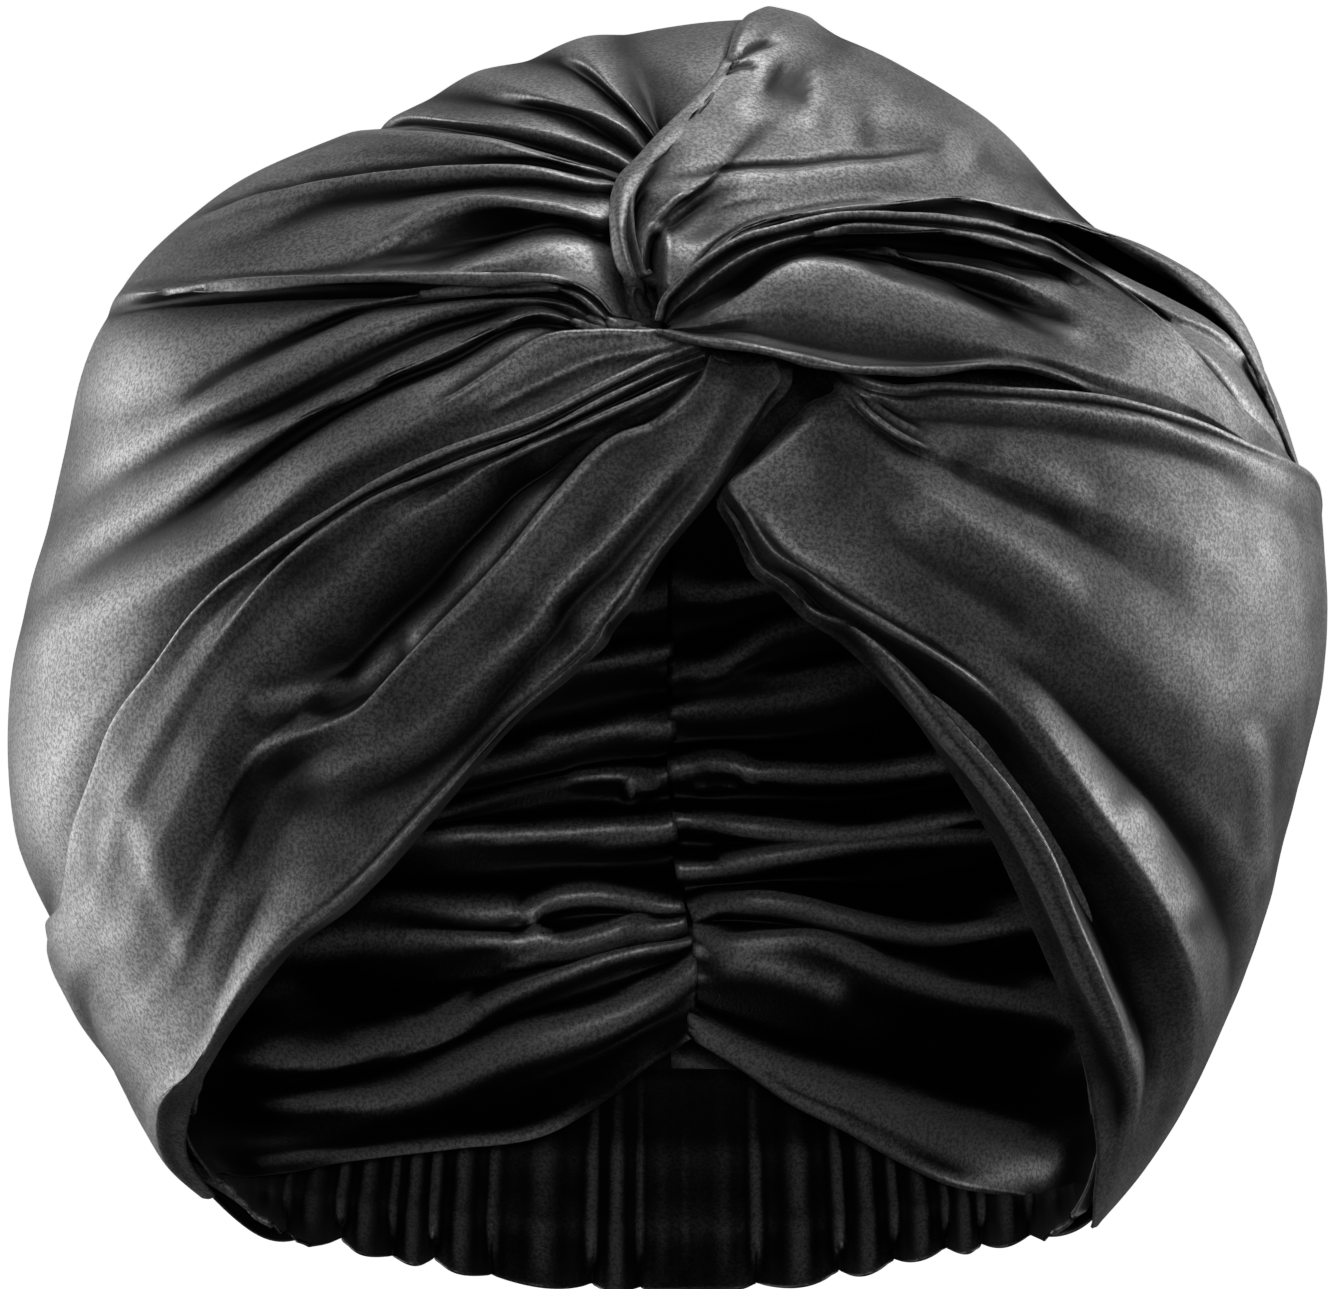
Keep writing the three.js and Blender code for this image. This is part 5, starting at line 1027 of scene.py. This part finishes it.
BAND_RIGHT_CREASES = [
    ("edge line", 0.35, 0.5, 0, [
        (32.5, 149), (36, 148.5), (41, 147.5), (48, 148), (59, 147.5), (68, 147), (78.5, 146),
        (95.5, 142), (114, 136),
    ]),
    ("pleat line", 0.7, 0.6, 0.4, [(32, 148), (34.5, 144.5), (38, 141.5), (42, 139), (47, 137)]),
    ("pleat line 2", 0.4, 0.6, 0.3, [(32.5, 148.5), (36, 145.5), (41, 142), (45.5, 140)]),
    ("soft fold 1", 0.3, 2.8, 0, [(56, 137), (64, 134), (72, 130), (76.5, 126.5)]),
    ("soft fold 2", -0.8, 2.4, 0, [(46.5, 136), (56, 132), (66, 127.5), (75, 123)]),
    ("soft fold 3", 0.6, 3, 0, [(41, 131.5), (51.5, 124.5), (64, 117.5), (76.5, 109)]),
    ("soft fold 4", -0.6, 3, 0, [(34, 130), (42.5, 120), (55, 112.5), (67.5, 103.5)]),
    ("side ridge", 0.5, 2.6, 0.3, [(104, 90.5), (107, 82), (108, 75), (108.5, 66), (108, 56.5)]),
    ("rim line", 0.5, 0.7, 0.6, [
        (11, 130), (14, 125.5), (19, 119), (29, 112), (37, 107), (51, 98.5), (59.5, 91.5),
    ]),
    ("tube line", 1.1, 0.7, 0, [
        (34, 105.5), (41, 99), (50, 88.5), (59, 78.5), (67, 66.5), (72, 55), (77.5, 43), (82, 33),
        (85, 23.5),
    ]),
    ("tube line 2", 0.9, 0.7, 0, [
        (32, 104.5), (39.5, 97.5), (48, 87), (56.5, 77), (64, 65), (69.5, 54), (75, 42), (80, 31.5),
    ]),
    ("lower swell", 0.8, 3.5, 0, [(80.5, 77), (89, 66.5), (96, 51.5)]),
]  # fmt: skip

grid = lay_fabric(BAND_RIGHT_FOLDS, across=170, steps=190)
grid = slacken(press_creases(grid, BAND_RIGHT_CREASES), size=13, depth=0.10, seed=5)
grid = turn_under(grid, radius=0.8, tuck=3, first=True, last=False)
# Painted light: the band is painted a little lighter all over.
band_right = sew("right_band", grid, wall=0.5, material=black_satin, added_painted_light=0.03)
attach(band_right, "root")
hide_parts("band_right")

# ---- Lining ------------------------------------------------------------------
# The inner layer is two pieces of a glossier satin, gathered onto the seam at
# the back, so folds run from the seam to both sides. It is seen from inside.
# Painted light: blacker painted shade in the hollows and a brighter, narrower painted highlight on the
# folds than the outer satin.
lining_satin = satin(
    "lining_satin",
    hollow_painted_shade=(0.0006, 0.0006, 0.0007),
    fold_painted_highlight=(0.085, 0.085, 0.086),
    roughness=0.34,
    fold_shine=2.8,
    narrowness=4.5,
)


def line_half(name, folds, creases, puckers, phase, seed):
    """One half of the lining."""
    ripple = gathered_end(puckers, 0.3, phase)
    grid = lay_fabric(folds, across=200, steps=120, ripple=ripple, closer=-0.45)
    grid = slacken(press_creases(grid, creases, behind=True), size=12, depth=0.2, seed=seed)
    # Painted light: the lining is painted lighter low down and a little darker higher up.
    piece_painted_light = painted_light_from(grid[..., 2], start=30, end=75, low=0.25, high=-0.06)
    return sew(name, grid, wall=0.5, material=lining_satin, added_painted_light=piece_painted_light)


LINING_LEFT_FOLDS = [
    ("over the top 1", 0.3, [(-2, 129, -10.5), (-3, 140, -11.5), (-0.3, 152, -12)], []),
    ("over the top 2", 0.3, [(-6, 121, -10.5), (-26, 142, -12), (-16, 176, -12), (-0.3, 186, -12)], []),
    ("over the top 3", 0.3, [
        (-10, 117, -10.5), (-42, 146, -12), (-44, 178, -12),
    ], [(-18, 202, -12), (-0.3, 209, -12)]),
    ("over the top 4", 0.3, [
        (-13, 112, -10.5), (-62, 158, -12),
    ], [(-48, 186, -12), (-24, 196, -12), (-0.3, 202, -12)]),
    ("behind the crown", 0.3, [
        (-28, 92, -10.5), (-84, 132, -12),
    ], [(-72, 168, -12), (-36, 178, -12), (-0.3, 186, -12)]),
    ("behind the brow", 0.3, [
        (-42, 77, -10.5), (-98, 112, -12),
    ], [(-86, 150, -12), (-43, 160, -12), (-0.3, 168, -12)]),
    ("rib 1", 0.3, [
        (-72.5, 43.5, -10.2), (-108, 71, -11.3),
    ], [(-100, 97.5, -11.3), (-32.5, 112, -12), (-13, 118, -13), (1.7, 120, -12.1)]),
    ("rib 2", 0.3, [
        (-74, 42, -10), (-108, 68, -11.1),
    ], [(-100, 94, -11.1), (-20.5, 108, -13), (-7, 111.5, -13.8), (1.7, 112, -13.3)]),
    ("dip 2", 0.8, [
        (-76, 39.5, -9.6), (-107.5, 63, -10.8),
    ], [(-100, 88, -10.8), (-24.5, 102, -12.5), (-9, 106, -12.5), (1.7, 107, -11.1)]),
    ("rib 3", 0.3, [
        (-77.5, 36.5, -9.2), (-106.5, 57.5, -10.5),
    ], [(-99.5, 81, -10.5), (-28.5, 94.5, -13), (-9, 99.5, -14), (1.7, 101, -13.7)]),
    ("dip 3", 0.8, [
        (-79, 34, -8.7), (-105, 51.5, -10.1),
    ], [(-99, 73.5, -10.1), (-32.5, 86.5, -12.5), (-11, 92.5, -12.5), (1.7, 94.5, -11.1)]),
    ("rib 4", 0.3, [
        (-80.5, 31.5, -8.3), (-103.5, 47.5, -9.8),
    ], [(-97.5, 67.5, -9.8), (-32.5, 80, -14), (-11, 85.5, -14.2), (2.2, 88, -13.9)]),
    ("dip 4", 0.8, [
        (-81.5, 29.5, -8), (-102.5, 44, -9.5),
    ], [(-96.5, 62, -9.5), (-40, 74, -12.5), (-13, 79.5, -12.5), (2.2, 82, -10.6)]),
    ("rib 5", 0.3, [
        (-82, 28, -7.8), (-102, 42, -9.4),
    ], [(-96, 59, -9.4), (-42, 70.5, -14), (-20.5, 76.5, -14), (-9, 77.5, -14.6), (2.2, 78, -14.1)]),
    ("dip 5", 0.8, [
        (-82.5, 27.5, -7.6), (-101.5, 40.5, -9.3),
    ], [(-95.5, 56.5, -9.3), (-46, 68, -13), (-24.5, 71, -13), (-11, 72, -12), (2.2, 73, -10.1)]),
    ("rib 6", 0.3, [
        (-83, 26.5, -7.5), (-101, 39, -9.2),
    ], [(-95, 54.5, -9.2), (-48, 65.5, -14), (-30, 66, -15.5), (-9.5, 67, -16.5), (2.2, 69, -16.1)]),
    ("dip 6", 0.7, [
        (-84, 24, -7.1), (-99.5, 34, -8.9),
    ], [
        (-93.5, 47, -8.9), (-53.5, 57.5, -13), (-32.5, 58.5, -13), (-13, 59.5, -12.5),
        (2.7, 61.5, -10.1),
    ]),
    ("loop top", 0.3, [
        (-84.5, 22, -6.8), (-98, 31.5, -8.6),
    ], [
        (-92, 42.5, -8.6), (-55.5, 52.5, -14), (-25.5, 52, -16), (-15.5, 54, -16.5), (-7, 53, -16),
        (3.7, 52, -14.1),
    ]),
    ("loop hollow", 0.7, [
        (-85, 21, -6.6), (-97, 29.5, -8.5),
    ], [
        (-91, 39, -8.5), (-57.5, 49, -14), (-27, 48, -14.5), (-18.5, 49.5, -13), (-9, 50, -13),
        (4.2, 50.5, -12.1),
    ]),
    ("loop lip", 0.3, [
        (-85, 20, -6.4), (-96, 28, -8.4),
    ], [
        (-90.5, 36.5, -8.4), (-61, 46, -14), (-38, 46.5, -15), (-22.5, 45.5, -16), (-9, 48, -16),
        (4.2, 49, -14.6),
    ]),
    ("dark hollow", 0.7, [
        (-86, 17, -6), (-93, 24, -8),
    ], [(-88, 29, -8), (-70.5, 37.5, -12), (-36, 37, -11), (-12.5, 41.5, -11), (4.7, 46, -10.1)]),
    ("lobe ridge", 0.3, [
        (-88.7, 23.5, -3.6),
    ], [
        (-84.5, 23.5, -7.5), (-64, 24, -13), (-44.5, 28.5, -16), (-29.5, 36, -17), (-4.5, 44, -17),
        (5.7, 45.5, -15.1),
    ]),
    ("lobe crease", 0.8, [
        (-88.4, 19, -3.6),
    ], [
        (-84.5, 19, -5.8), (-68, 19, -10), (-47.5, 23.5, -13.5), (-28, 31, -14), (-5, 38.5, -14),
        (5.7, 43.5, -12.1),
    ]),
    ("lobe ridge 2", 0.3, [
        (-87.4, 14, -3.6),
    ], [
        (-85, 14, -5), (-68.5, 15, -10.5), (-49, 17.5, -15.5), (-29.5, 25.5, -17.5), (-5, 33, -17.5),
        (6.2, 41, -15.1),
    ]),
    ("lobe shade", 0.5, [
        (-85.6, 9, -3.6),
    ], [
        (-84.5, 9, -6), (-69.5, 8.5, -10), (-51, 11, -12), (-32, 16, -13), (-14.5, 22.5, -13.5),
        (-5, 27.5, -13.5), (6.2, 33, -12.1),
    ]),
    ("lining hem", 0.4, [
        (-83, 4, -3.6),
    ], [
        (-84, 4, -5.5), (-78, 3.5, -7), (-71.5, 3.5, -9.5), (-62, 4.5, -11.5), (-41, 6, -13),
        (-21, 9, -14.5), (-12.5, 14, -15), (-4, 20.5, -15), (5.7, 27, -13.1),
    ]),
]  # fmt: skip
LINING_LEFT_CREASES = [
    ("upper rib", -0.3, 1, 0.1, [(-20.5, 109), (-11, 111), (-2, 112)]),
    ("upper rib 2", -0.3, 1, 0.1, [(-23.5, 98), (-13, 99.5), (-2, 101)]),
    ("upper rib 3", -0.6, 0.9, 0.2, [(-28.5, 84), (-16.5, 85.5), (-7, 87), (-1, 88)]),
    ("small rib", -1.05, 0.9, 0.3, [(-20.5, 76.5), (-13, 77), (-2.5, 78)]),
    ("tiny loop", -1.8, 0.9, 0, [(-1, 75.5), (-5, 76), (-7.5, 75), (-6.5, 73), (-2, 73)]),
    ("long rib", -1.35, 0.92, 0.3, [(-46, 66), (-30, 66), (-16.5, 66.5), (-0.5, 68.5)]),
    ("loop", -1.95, 0.92, -0.5, [
        (0, 52.5), (-7, 53.5), (-15.5, 54), (-23.5, 52.5), (-26.5, 50), (-26, 47.5), (-22.5, 45.5),
        (-12.5, 46.5), (-3.5, 49.5), (1.5, 50),
    ]),
    ("loop tail", -0.5, 1, 0, [(-22.5, 45), (-36, 45.5), (-51.5, 46.5)]),
    ("lobe line", -0.7, 1.4, 0.3, [
        (-86, 25), (-63.5, 24), (-44.5, 31), (-29.5, 41), (-12.5, 44.5), (-2, 47),
    ]),
    ("lobe line 2", -0.8, 1.6, 0.3, [
        (-86, 15.5), (-68, 15.5), (-49, 17.5), (-29.5, 27), (-9.5, 33), (4.5, 44.5),
    ]),
    ("lobe line 3", -0.4, 1, 0, [(-79.5, 20), (-64, 20), (-47.5, 25), (-32, 32)]),
    ("hem line", -0.5, 0.9, 0, [
        (-83.5, 5), (-70.5, 6), (-61.5, 6), (-41, 7.5), (-21, 10.5), (-10.5, 16),
    ]),
]  # fmt: skip

lining_left = line_half("left_lining", LINING_LEFT_FOLDS, LINING_LEFT_CREASES, 40, 0.3, 6)
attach(lining_left, "root")
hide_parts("lining_left")

LINING_RIGHT_FOLDS = [
    ("over the top 1", 0.3, [(10, 129, -10.5), (9, 140, -11.5), (0.3, 152, -12)], []),
    ("over the top 2", 0.3, [(12, 127, -10.5), (26, 145, -12), (16, 176, -12), (0.3, 186, -12)], []),
    ("over the top 3", 0.3, [
        (13.5, 126.5, -10.5), (42, 148, -12), (44, 178, -12),
    ], [(18, 202, -12), (0.3, 209, -12)]),
    ("over the top 4", 0.3, [
        (15, 125, -10.5), (62, 158, -12),
    ], [(48, 186, -12), (24, 196, -12), (0.3, 202, -12)]),
    ("behind the crown", 0.3, [
        (26, 112, -10.5), (84, 132, -12),
    ], [(72, 168, -12), (36, 178, -12), (0.3, 186, -12)]),
    ("behind the brow", 0.3, [
        (36, 103, -10.5), (98, 112, -12),
    ], [(86, 150, -12), (43, 160, -12), (0.3, 168, -12)]),
    ("rib 1", 0.3, [
        (63.5, 62.5, -10.5), (108, 75.5, -11.5),
    ], [(100, 103, -11.5), (32.5, 118, -12), (15, 120, -13), (0.5, 120, -13)]),
    ("rib 2", 0.3, [
        (64.5, 60, -10.5), (108, 73, -11.5),
    ], [(100, 100.5, -11.5), (42, 115, -13), (26.5, 115.5, -13.6), (13.5, 114, -14), (0.5, 113, -14)]),
    ("dip 2", 0.7, [
        (66, 57, -10.5), (108, 70, -11.5),
    ], [(100, 96.5, -11.5), (46, 111, -12.5), (32.5, 112, -12.5), (14, 109, -12), (0.5, 107, -12)]),
    ("rib 3", 0.3, [
        (67, 55, -10.5), (108, 68, -11.5),
    ], [
        (100, 94, -11.5), (52, 108, -13), (36.5, 109, -13.6), (20.5, 106.5, -14), (10, 101, -14.4),
        (0.5, 98.5, -14),
    ]),
    ("fold of the rib", 0.6, [
        (68.5, 51.5, -10.5), (107.5, 64, -11.5),
    ], [
        (100, 89, -11.5), (55.5, 103, -13), (42, 104, -13.5), (24.5, 101, -13.5), (11, 96.5, -13.5),
        (0.5, 94.5, -13),
    ]),
    ("soft patch", 0.3, [
        (70, 48.5, -10.5), (107, 60.5, -11.5),
    ], [
        (100, 84.5, -11.5), (59.5, 98.5, -13.5), (42.5, 97.5, -14.4), (26.5, 93.5, -14.6),
        (13, 91.5, -14.4), (0.5, 89.5, -14),
    ]),
    ("dip 3", 0.8, [
        (71.5, 44, -10.3), (105.5, 54.5, -11.4),
    ], [
        (99.5, 77, -11.4), (63.5, 90.5, -12.5), (42, 87.5, -12), (18.5, 84.5, -11.5), (0.5, 84, -11.5),
    ]),
    ("rib 4", 0.3, [
        (73, 39.5, -9.6), (104, 49, -10.8),
    ], [
        (98, 70, -10.8), (65, 82.5, -14), (55.5, 80.5, -15.5), (38, 78, -16.5), (20, 78.5, -16),
        (13, 80.5, -17), (0.5, 79, -16.5),
    ]),
    ("dip 4", 0.8, [
        (74, 36, -9), (103, 44.5, -10.3),
    ], [(97, 63.5, -10.3), (59.5, 75.5, -12.5), (38, 73, -12), (18.5, 73, -12), (1, 73.5, -11.5)]),
    ("rib 5", 0.3, [
        (75, 33.5, -8.6), (102, 41.5, -10.1),
    ], [(96, 58.5, -10.1), (61.5, 70, -15.5), (37, 66.5, -17), (15.5, 68, -17), (1.5, 69, -16.5)]),
    ("dip 5", 0.8, [
        (75, 32.5, -8.5), (101.5, 40.5, -10),
    ], [
        (95.5, 56.5, -10), (63, 68, -14), (42, 65, -15), (26.5, 64.5, -14), (14, 64, -10),
        (1.5, 64, -9.5),
    ]),
    ("rib 6", 0.3, [
        (75, 32, -8.4), (101.5, 39, -9.9),
    ], [(95.5, 55, -9.9), (64, 66, -15.5), (33, 63.5, -17), (16.5, 61, -17), (2, 59.5, -16)]),
    ("dip 6", 0.7, [
        (76, 29, -7.9), (100, 35.5, -9.5),
    ], [(94, 49, -9.5), (68, 59.5, -12.5), (46, 57, -11.5), (18.5, 56.5, -11.5), (3, 55.5, -12)]),
    ("loop top", 0.3, [
        (76.5, 25, -7.3), (97.5, 30, -9),
    ], [
        (91.5, 40.5, -9), (71.5, 50.5, -15.5), (51, 47.5, -17.5), (33, 50.5, -18), (18, 53, -18),
        (10, 52.5, -17), (5.5, 49.5, -15),
    ]),
    ("loop hollow", 0.7, [
        (77, 21.5, -6.7), (95, 26.5, -8.6),
    ], [
        (90, 34, -8.6), (73, 43, -13), (46, 44, -12.5), (29.5, 47.5, -12.5), (13.5, 49, -13),
        (5.5, 48.5, -12.5),
    ]),
    ("loop lip", 0.3, [
        (77.5, 17.5, -6.1), (92, 22, -8.1),
    ], [
        (87, 26.5, -8.1), (75.5, 34.5, -15), (55, 37.5, -16.5), (43.5, 40.5, -17), (29.5, 45, -17),
        (11, 45.5, -17), (5.5, 47.5, -16),
    ]),
    ("lit hollow", 0.3, [
        (77.8, 28, -7.2),
    ], [(77, 28, -13), (57, 30, -13), (38, 34, -14), (20.5, 38.5, -14.5), (5.5, 40.5, -14)]),
    ("dark crease", 0.8, [
        (79.6, 15.5, -5.5),
    ], [(78, 15.5, -11), (56.5, 18.5, -12), (38, 23, -12), (20.5, 28, -11.5), (5, 33, -11.5)]),
    ("lower lobe", 0.3, [
        (78, 6, -4.8),
    ], [
        (78, 6, -8), (69, 7.5, -12.5), (54.5, 11, -16), (35.5, 16.5, -17), (22.5, 21, -16.5),
        (4.5, 30, -14.5),
    ]),
    ("lining hem", 0.4, [
        (74.7, -1.5, -4.8),
    ], [
        (78, -1.5, -4.4), (67, -1.5, -7.5), (54.5, 0, -10.5), (45, 4, -12.5), (34.5, 9.5, -14),
        (24, 14.5, -14.5), (14.5, 21, -14), (4, 27, -13.5),
    ]),
]  # fmt: skip
LINING_RIGHT_CREASES = [
    ("upper rib", -0.5, 0.9, 0.2, [(1.5, 113), (13.5, 114), (26.5, 115.5)]),
    ("patch edge", -0.6, 1.2, 0.3, [(1.5, 94.5), (11, 98), (20.5, 104), (34.5, 107)]),
    ("patch edge 2", -0.5, 1.5, 0, [(9, 96.5), (26.5, 97.5), (42.5, 99.5)]),
    ("rib", -1.5, 0.9, 0.4, [
        (0.5, 79), (4, 80), (9, 80), (14, 79), (17.5, 77.5), (20, 78), (38, 78), (55.5, 81),
    ]),
    ("small curl", -1.2, 0.9, 0, [(5, 75.5), (11, 75.5), (15.5, 76.5)]),
    ("rib 2", -1.5, 0.92, 0.4, [(3, 69.5), (11, 68), (22.5, 66.5), (37, 66.5), (49.5, 68), (61.5, 70)]),
    ("rib 3", -1.35, 0.92, 0.4, [(7, 59.5), (16.5, 61), (33.5, 63.5), (49.5, 65), (64, 66)]),
    ("dark loop", 0.9, 3, 0, [(1.5, 65), (7, 63.5), (12, 63)]),
    ("loop top", -2.25, 0.92, -0.6, [
        (5.5, 48.5), (7, 50.5), (10, 52), (18, 53), (26.5, 52), (33, 50.5), (42, 48.5), (51, 47.5),
        (61, 48.5), (71.5, 50.5),
    ]),
    ("loop low", -1.95, 0.92, -0.3, [
        (5.5, 48), (7, 46.5), (10, 45.5), (20.5, 45.5), (29.5, 45.5), (38, 43), (43.5, 40.5),
        (55, 37.5), (66, 35.5), (77, 34.5),
    ]),
    ("soft patch", -0.8, 3.5, 0, [(8, 41.5), (18.5, 40), (30, 37), (38, 33)]),
    ("lobe line", -0.7, 1.6, 0.3, [(33, 18), (45, 14.5), (54.5, 11.5), (65, 9), (77, 6)]),
    ("lobe low", -0.5, 0.9, 0, [
        (7, 26.5), (15.5, 21.5), (24, 16), (34.5, 11), (45, 6), (54, 2), (66, 1),
    ]),
    ("centre fold", 0.7, 0.9, 0, [(3.5, 34), (4.5, 28), (7, 24.5)]),
]  # fmt: skip

lining_right = line_half("right_lining", LINING_RIGHT_FOLDS, LINING_RIGHT_CREASES, 37, 1.7, 7)
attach(lining_right, "root")
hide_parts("lining_right")

# ---- Nape casing -------------------------------------------------------------
# A gathered casing of satin for the elastic, with the cloth below it left as a
# frill. It is sewn to both halves, and a short tab at the middle stays flat.
# Each row of CASING_ROWS is a line along it, from the top down: half width, up
# at the corners, up at the middle, lift at the middle, lift at the corners and
# depth of the gathers, in mm.
CASING_ROWS = [
    (86, 12, 20, -5, -3.6, 0.1),
    (87, 10, 9, -6, -3.4, 0.5),
    (88, 8.5, 3, -7, -3.2, 1.0),
    (88.5, 7, -3, -7.5, -3, 1.1),
    (89, 5.5, -7.5, -8, -3, 1.0),
    (89, 4.5, -10, -8, -3, 1.6),
    (89, 3, -14, -7.3, -2.8, 2.6),
    (89, 1.5, -17.5, -7, -2.6, 3.2),
    (88.5, 0, -21, -7, -2.6, 3.6),
]
FRILL_STARTS = 4  # the row below which the casing opens into the frill
GATHERS = 23
TAB_MIDDLE, TAB_HALF = 0.027, 0.075  # as shares of the half width


def casing_grid(columns, rows_between):
    """The casing and its frill: narrow pleats that open into rounded lobes."""
    share = np.linspace(-1, 1, columns)
    across = np.sin(share * math.pi / 2)
    rng = np.random.default_rng(5)
    knots = np.linspace(-1, 1, GATHERS + 1)
    knots[1:-1] += rng.uniform(-0.35, 0.35, GATHERS - 1) * (2 / GATHERS)
    swell = np.interp(share, knots, rng.uniform(0.45, 1.35, GATHERS + 1))
    phase = 2 * math.pi * np.interp(share, knots, np.arange(GATHERS + 1))
    plain = 1 - 0.9 * np.exp(-(((share - TAB_MIDDLE) / TAB_HALF) ** 4))
    # smooth at the corners
    plain *= 0.5 + 0.5 * np.cos(math.pi * np.clip((np.abs(share) - 0.34) / 0.4, 0, 1))
    drop = np.interp(share, knots, rng.uniform(-0.9, 0.9, GATHERS + 1)) * plain
    pleat = -((0.5 + 0.5 * np.cos(2 * phase + 0.7 * np.sin(phase))) ** 3) * swell * plain
    bulge = np.abs(np.sin(phase / 2))
    lobe = (1.7 * bulge**0.6 - 0.9) * swell * plain
    rows = []
    for k, (half, corner, middle, lift, corner_lift, depth) in enumerate(CASING_ROWS):
        opened = max(0.0, (k - FRILL_STARTS) / (len(CASING_ROWS) - 1 - FRILL_STARTS))
        wave = (1 - opened) * 1.6 * pleat - opened * lobe
        up = middle + (corner - middle) * np.abs(across) ** (2 - 0.3 * opened)
        up = up - opened * (1.1 * lobe + drop)
        up -= opened * 4.5 * np.maximum(0, across) ** 6  # the right corner hangs lower
        gathered = depth * wave * (1 - 0.6 * np.abs(across) ** 6)
        lifts = lift + (corner_lift - lift) * np.abs(across) ** 7 + gathered
        stops = [direction_under((half * a, b, c), True) for a, b, c in zip(across, up, lifts)]
        rows.append(np.concatenate([np.array(stops), lifts[:, None]], axis=1))
    rows = np.array(rows)
    lean = np.gradient(rows, axis=0)
    out = []
    for g in range(len(rows) - 1):
        for k in range(rows_between + (g == len(rows) - 2)):
            out.append(hermite(rows[g], rows[g + 1], lean[g], lean[g + 1], 1.0, k / rows_between))
    sheet = np.array(out)
    return on_form(sheet[..., :3], sheet[..., 3])


nape_casing = sew("nape_frill", casing_grid(columns=560, rows_between=5), wall=0.5, material=black_satin)
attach(nape_casing, "root")
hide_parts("nape_casing")

# ---- Studio ------------------------------------------------------------------
# A pale paper floor that sweeps up behind the cap, soft boxes at both sides,
# above and in front, and a level camera in front of the knot.
FLOOR = -0.46
FLOOR_FRONT, FLOOR_BACK, FLOOR_HALF, SWEEP_RADIUS = -4.0, 3.0, 6.0, 1.5
bpy.ops.object.select_all(action="DESELECT")
sweep = [(FLOOR_FRONT, FLOOR), (FLOOR_BACK, FLOOR)]
for turn in np.linspace(0.1, math.pi / 2, 12):
    rise = SWEEP_RADIUS - SWEEP_RADIUS * math.cos(turn)
    sweep.append((FLOOR_BACK + SWEEP_RADIUS * math.sin(turn), FLOOR + rise))
sweep.append((FLOOR_BACK + SWEEP_RADIUS, FLOOR + 6.0))
backdrop = bpy.data.meshes.new("floor")
corners = [(x, y, z) for y, z in sweep for x in (-FLOOR_HALF, FLOOR_HALF)]
panels = [(2 * i, 2 * i + 1, 2 * i + 3, 2 * i + 2) for i in range(len(sweep) - 1)]
backdrop.from_pydata(corners, [], panels)
floor = bpy.data.objects.new("floor", backdrop)
bpy.context.collection.objects.link(floor)
for panel in backdrop.polygons:
    panel.use_smooth = True
paper = bpy.data.materials.new("pale_paper")
paper.use_nodes = True
paper_shader = paper.node_tree.nodes["Principled BSDF"]
paper_shader.inputs["Base Color"].default_value = (0.86, 0.86, 0.86, 1)
paper_shader.inputs["Roughness"].default_value = 0.9
paper_shader.inputs["Emission Color"].default_value = (1, 1, 1, 1)
paper_shader.inputs["Emission Strength"].default_value = 0.85
backdrop.materials.append(paper)
floor.visible_glossy = False
floor.visible_diffuse = False

world = bpy.data.worlds.new("studio")
bpy.context.scene.world = world
world.use_nodes = True
sky = world.node_tree.nodes["Background"]
sky.inputs["Color"].default_value = (1, 1, 1, 1)
rays = world.node_tree.nodes.new("ShaderNodeLightPath")
brightness = world.node_tree.nodes.new("ShaderNodeMapRange")
brightness.inputs["To Min"].default_value = 0.12
brightness.inputs["To Max"].default_value = 0.95
world.node_tree.links.new(rays.outputs["Is Camera Ray"], brightness.inputs["Value"])
world.node_tree.links.new(brightness.outputs["Result"], sky.inputs["Strength"])


def softbox(name, place, aim, size, power):
    """A rectangular soft box at a place, turned to what it lights."""
    lamp = bpy.data.lights.new(name, "AREA")
    lamp.shape = "RECTANGLE"
    lamp.size, lamp.size_y = size
    lamp.energy = power
    box = bpy.data.objects.new(name, lamp)
    bpy.context.collection.objects.link(box)
    box.location = place
    box.rotation_euler = (Vector(aim) - Vector(place)).to_track_quat("-Z", "Y").to_euler()


softbox("left_box", (-1.25, 0.45, 0.1), aim=(0, 0, 0.1), size=(1.1, 1.4), power=25)
softbox("right_box", (1.25, 0.35, 0.55), aim=(0, 0, 0.1), size=(0.8, 1.2), power=26)
softbox("top_box", (0.15, 0.0, 1.4), aim=(0, 0, 0.1), size=(1.3, 0.8), power=29)
softbox("front_box", (0.1, -1.8, 0.35), aim=(0, 0, 0.05), size=(1.2, 0.5), power=13)

CAMERA_BACK, CAMERA_UP = 1.6, 0.1
VIEW_WIDTH = 0.24666  # what the frame takes in at the middle of the cap, in metres
VIEW_ACROSS, VIEW_UP = -0.00009, 0.0031  # middle of the frame, away from the camera's axis
SENSOR = 36.0
camera = bpy.data.objects.new("camera", bpy.data.cameras.new("camera"))
bpy.context.collection.objects.link(camera)
camera.data.sensor_width = SENSOR
camera.location = (0.0, -CAMERA_BACK, CAMERA_UP)
camera.rotation_euler = (math.pi / 2, 0, 0)
camera.data.lens = SENSOR * CAMERA_BACK / VIEW_WIDTH
camera.data.shift_x = VIEW_ACROSS / VIEW_WIDTH
camera.data.shift_y = VIEW_UP / VIEW_WIDTH
camera.data.clip_end = 50.0
bpy.context.scene.camera = camera
bpy.context.scene.view_settings.view_transform = "Standard"
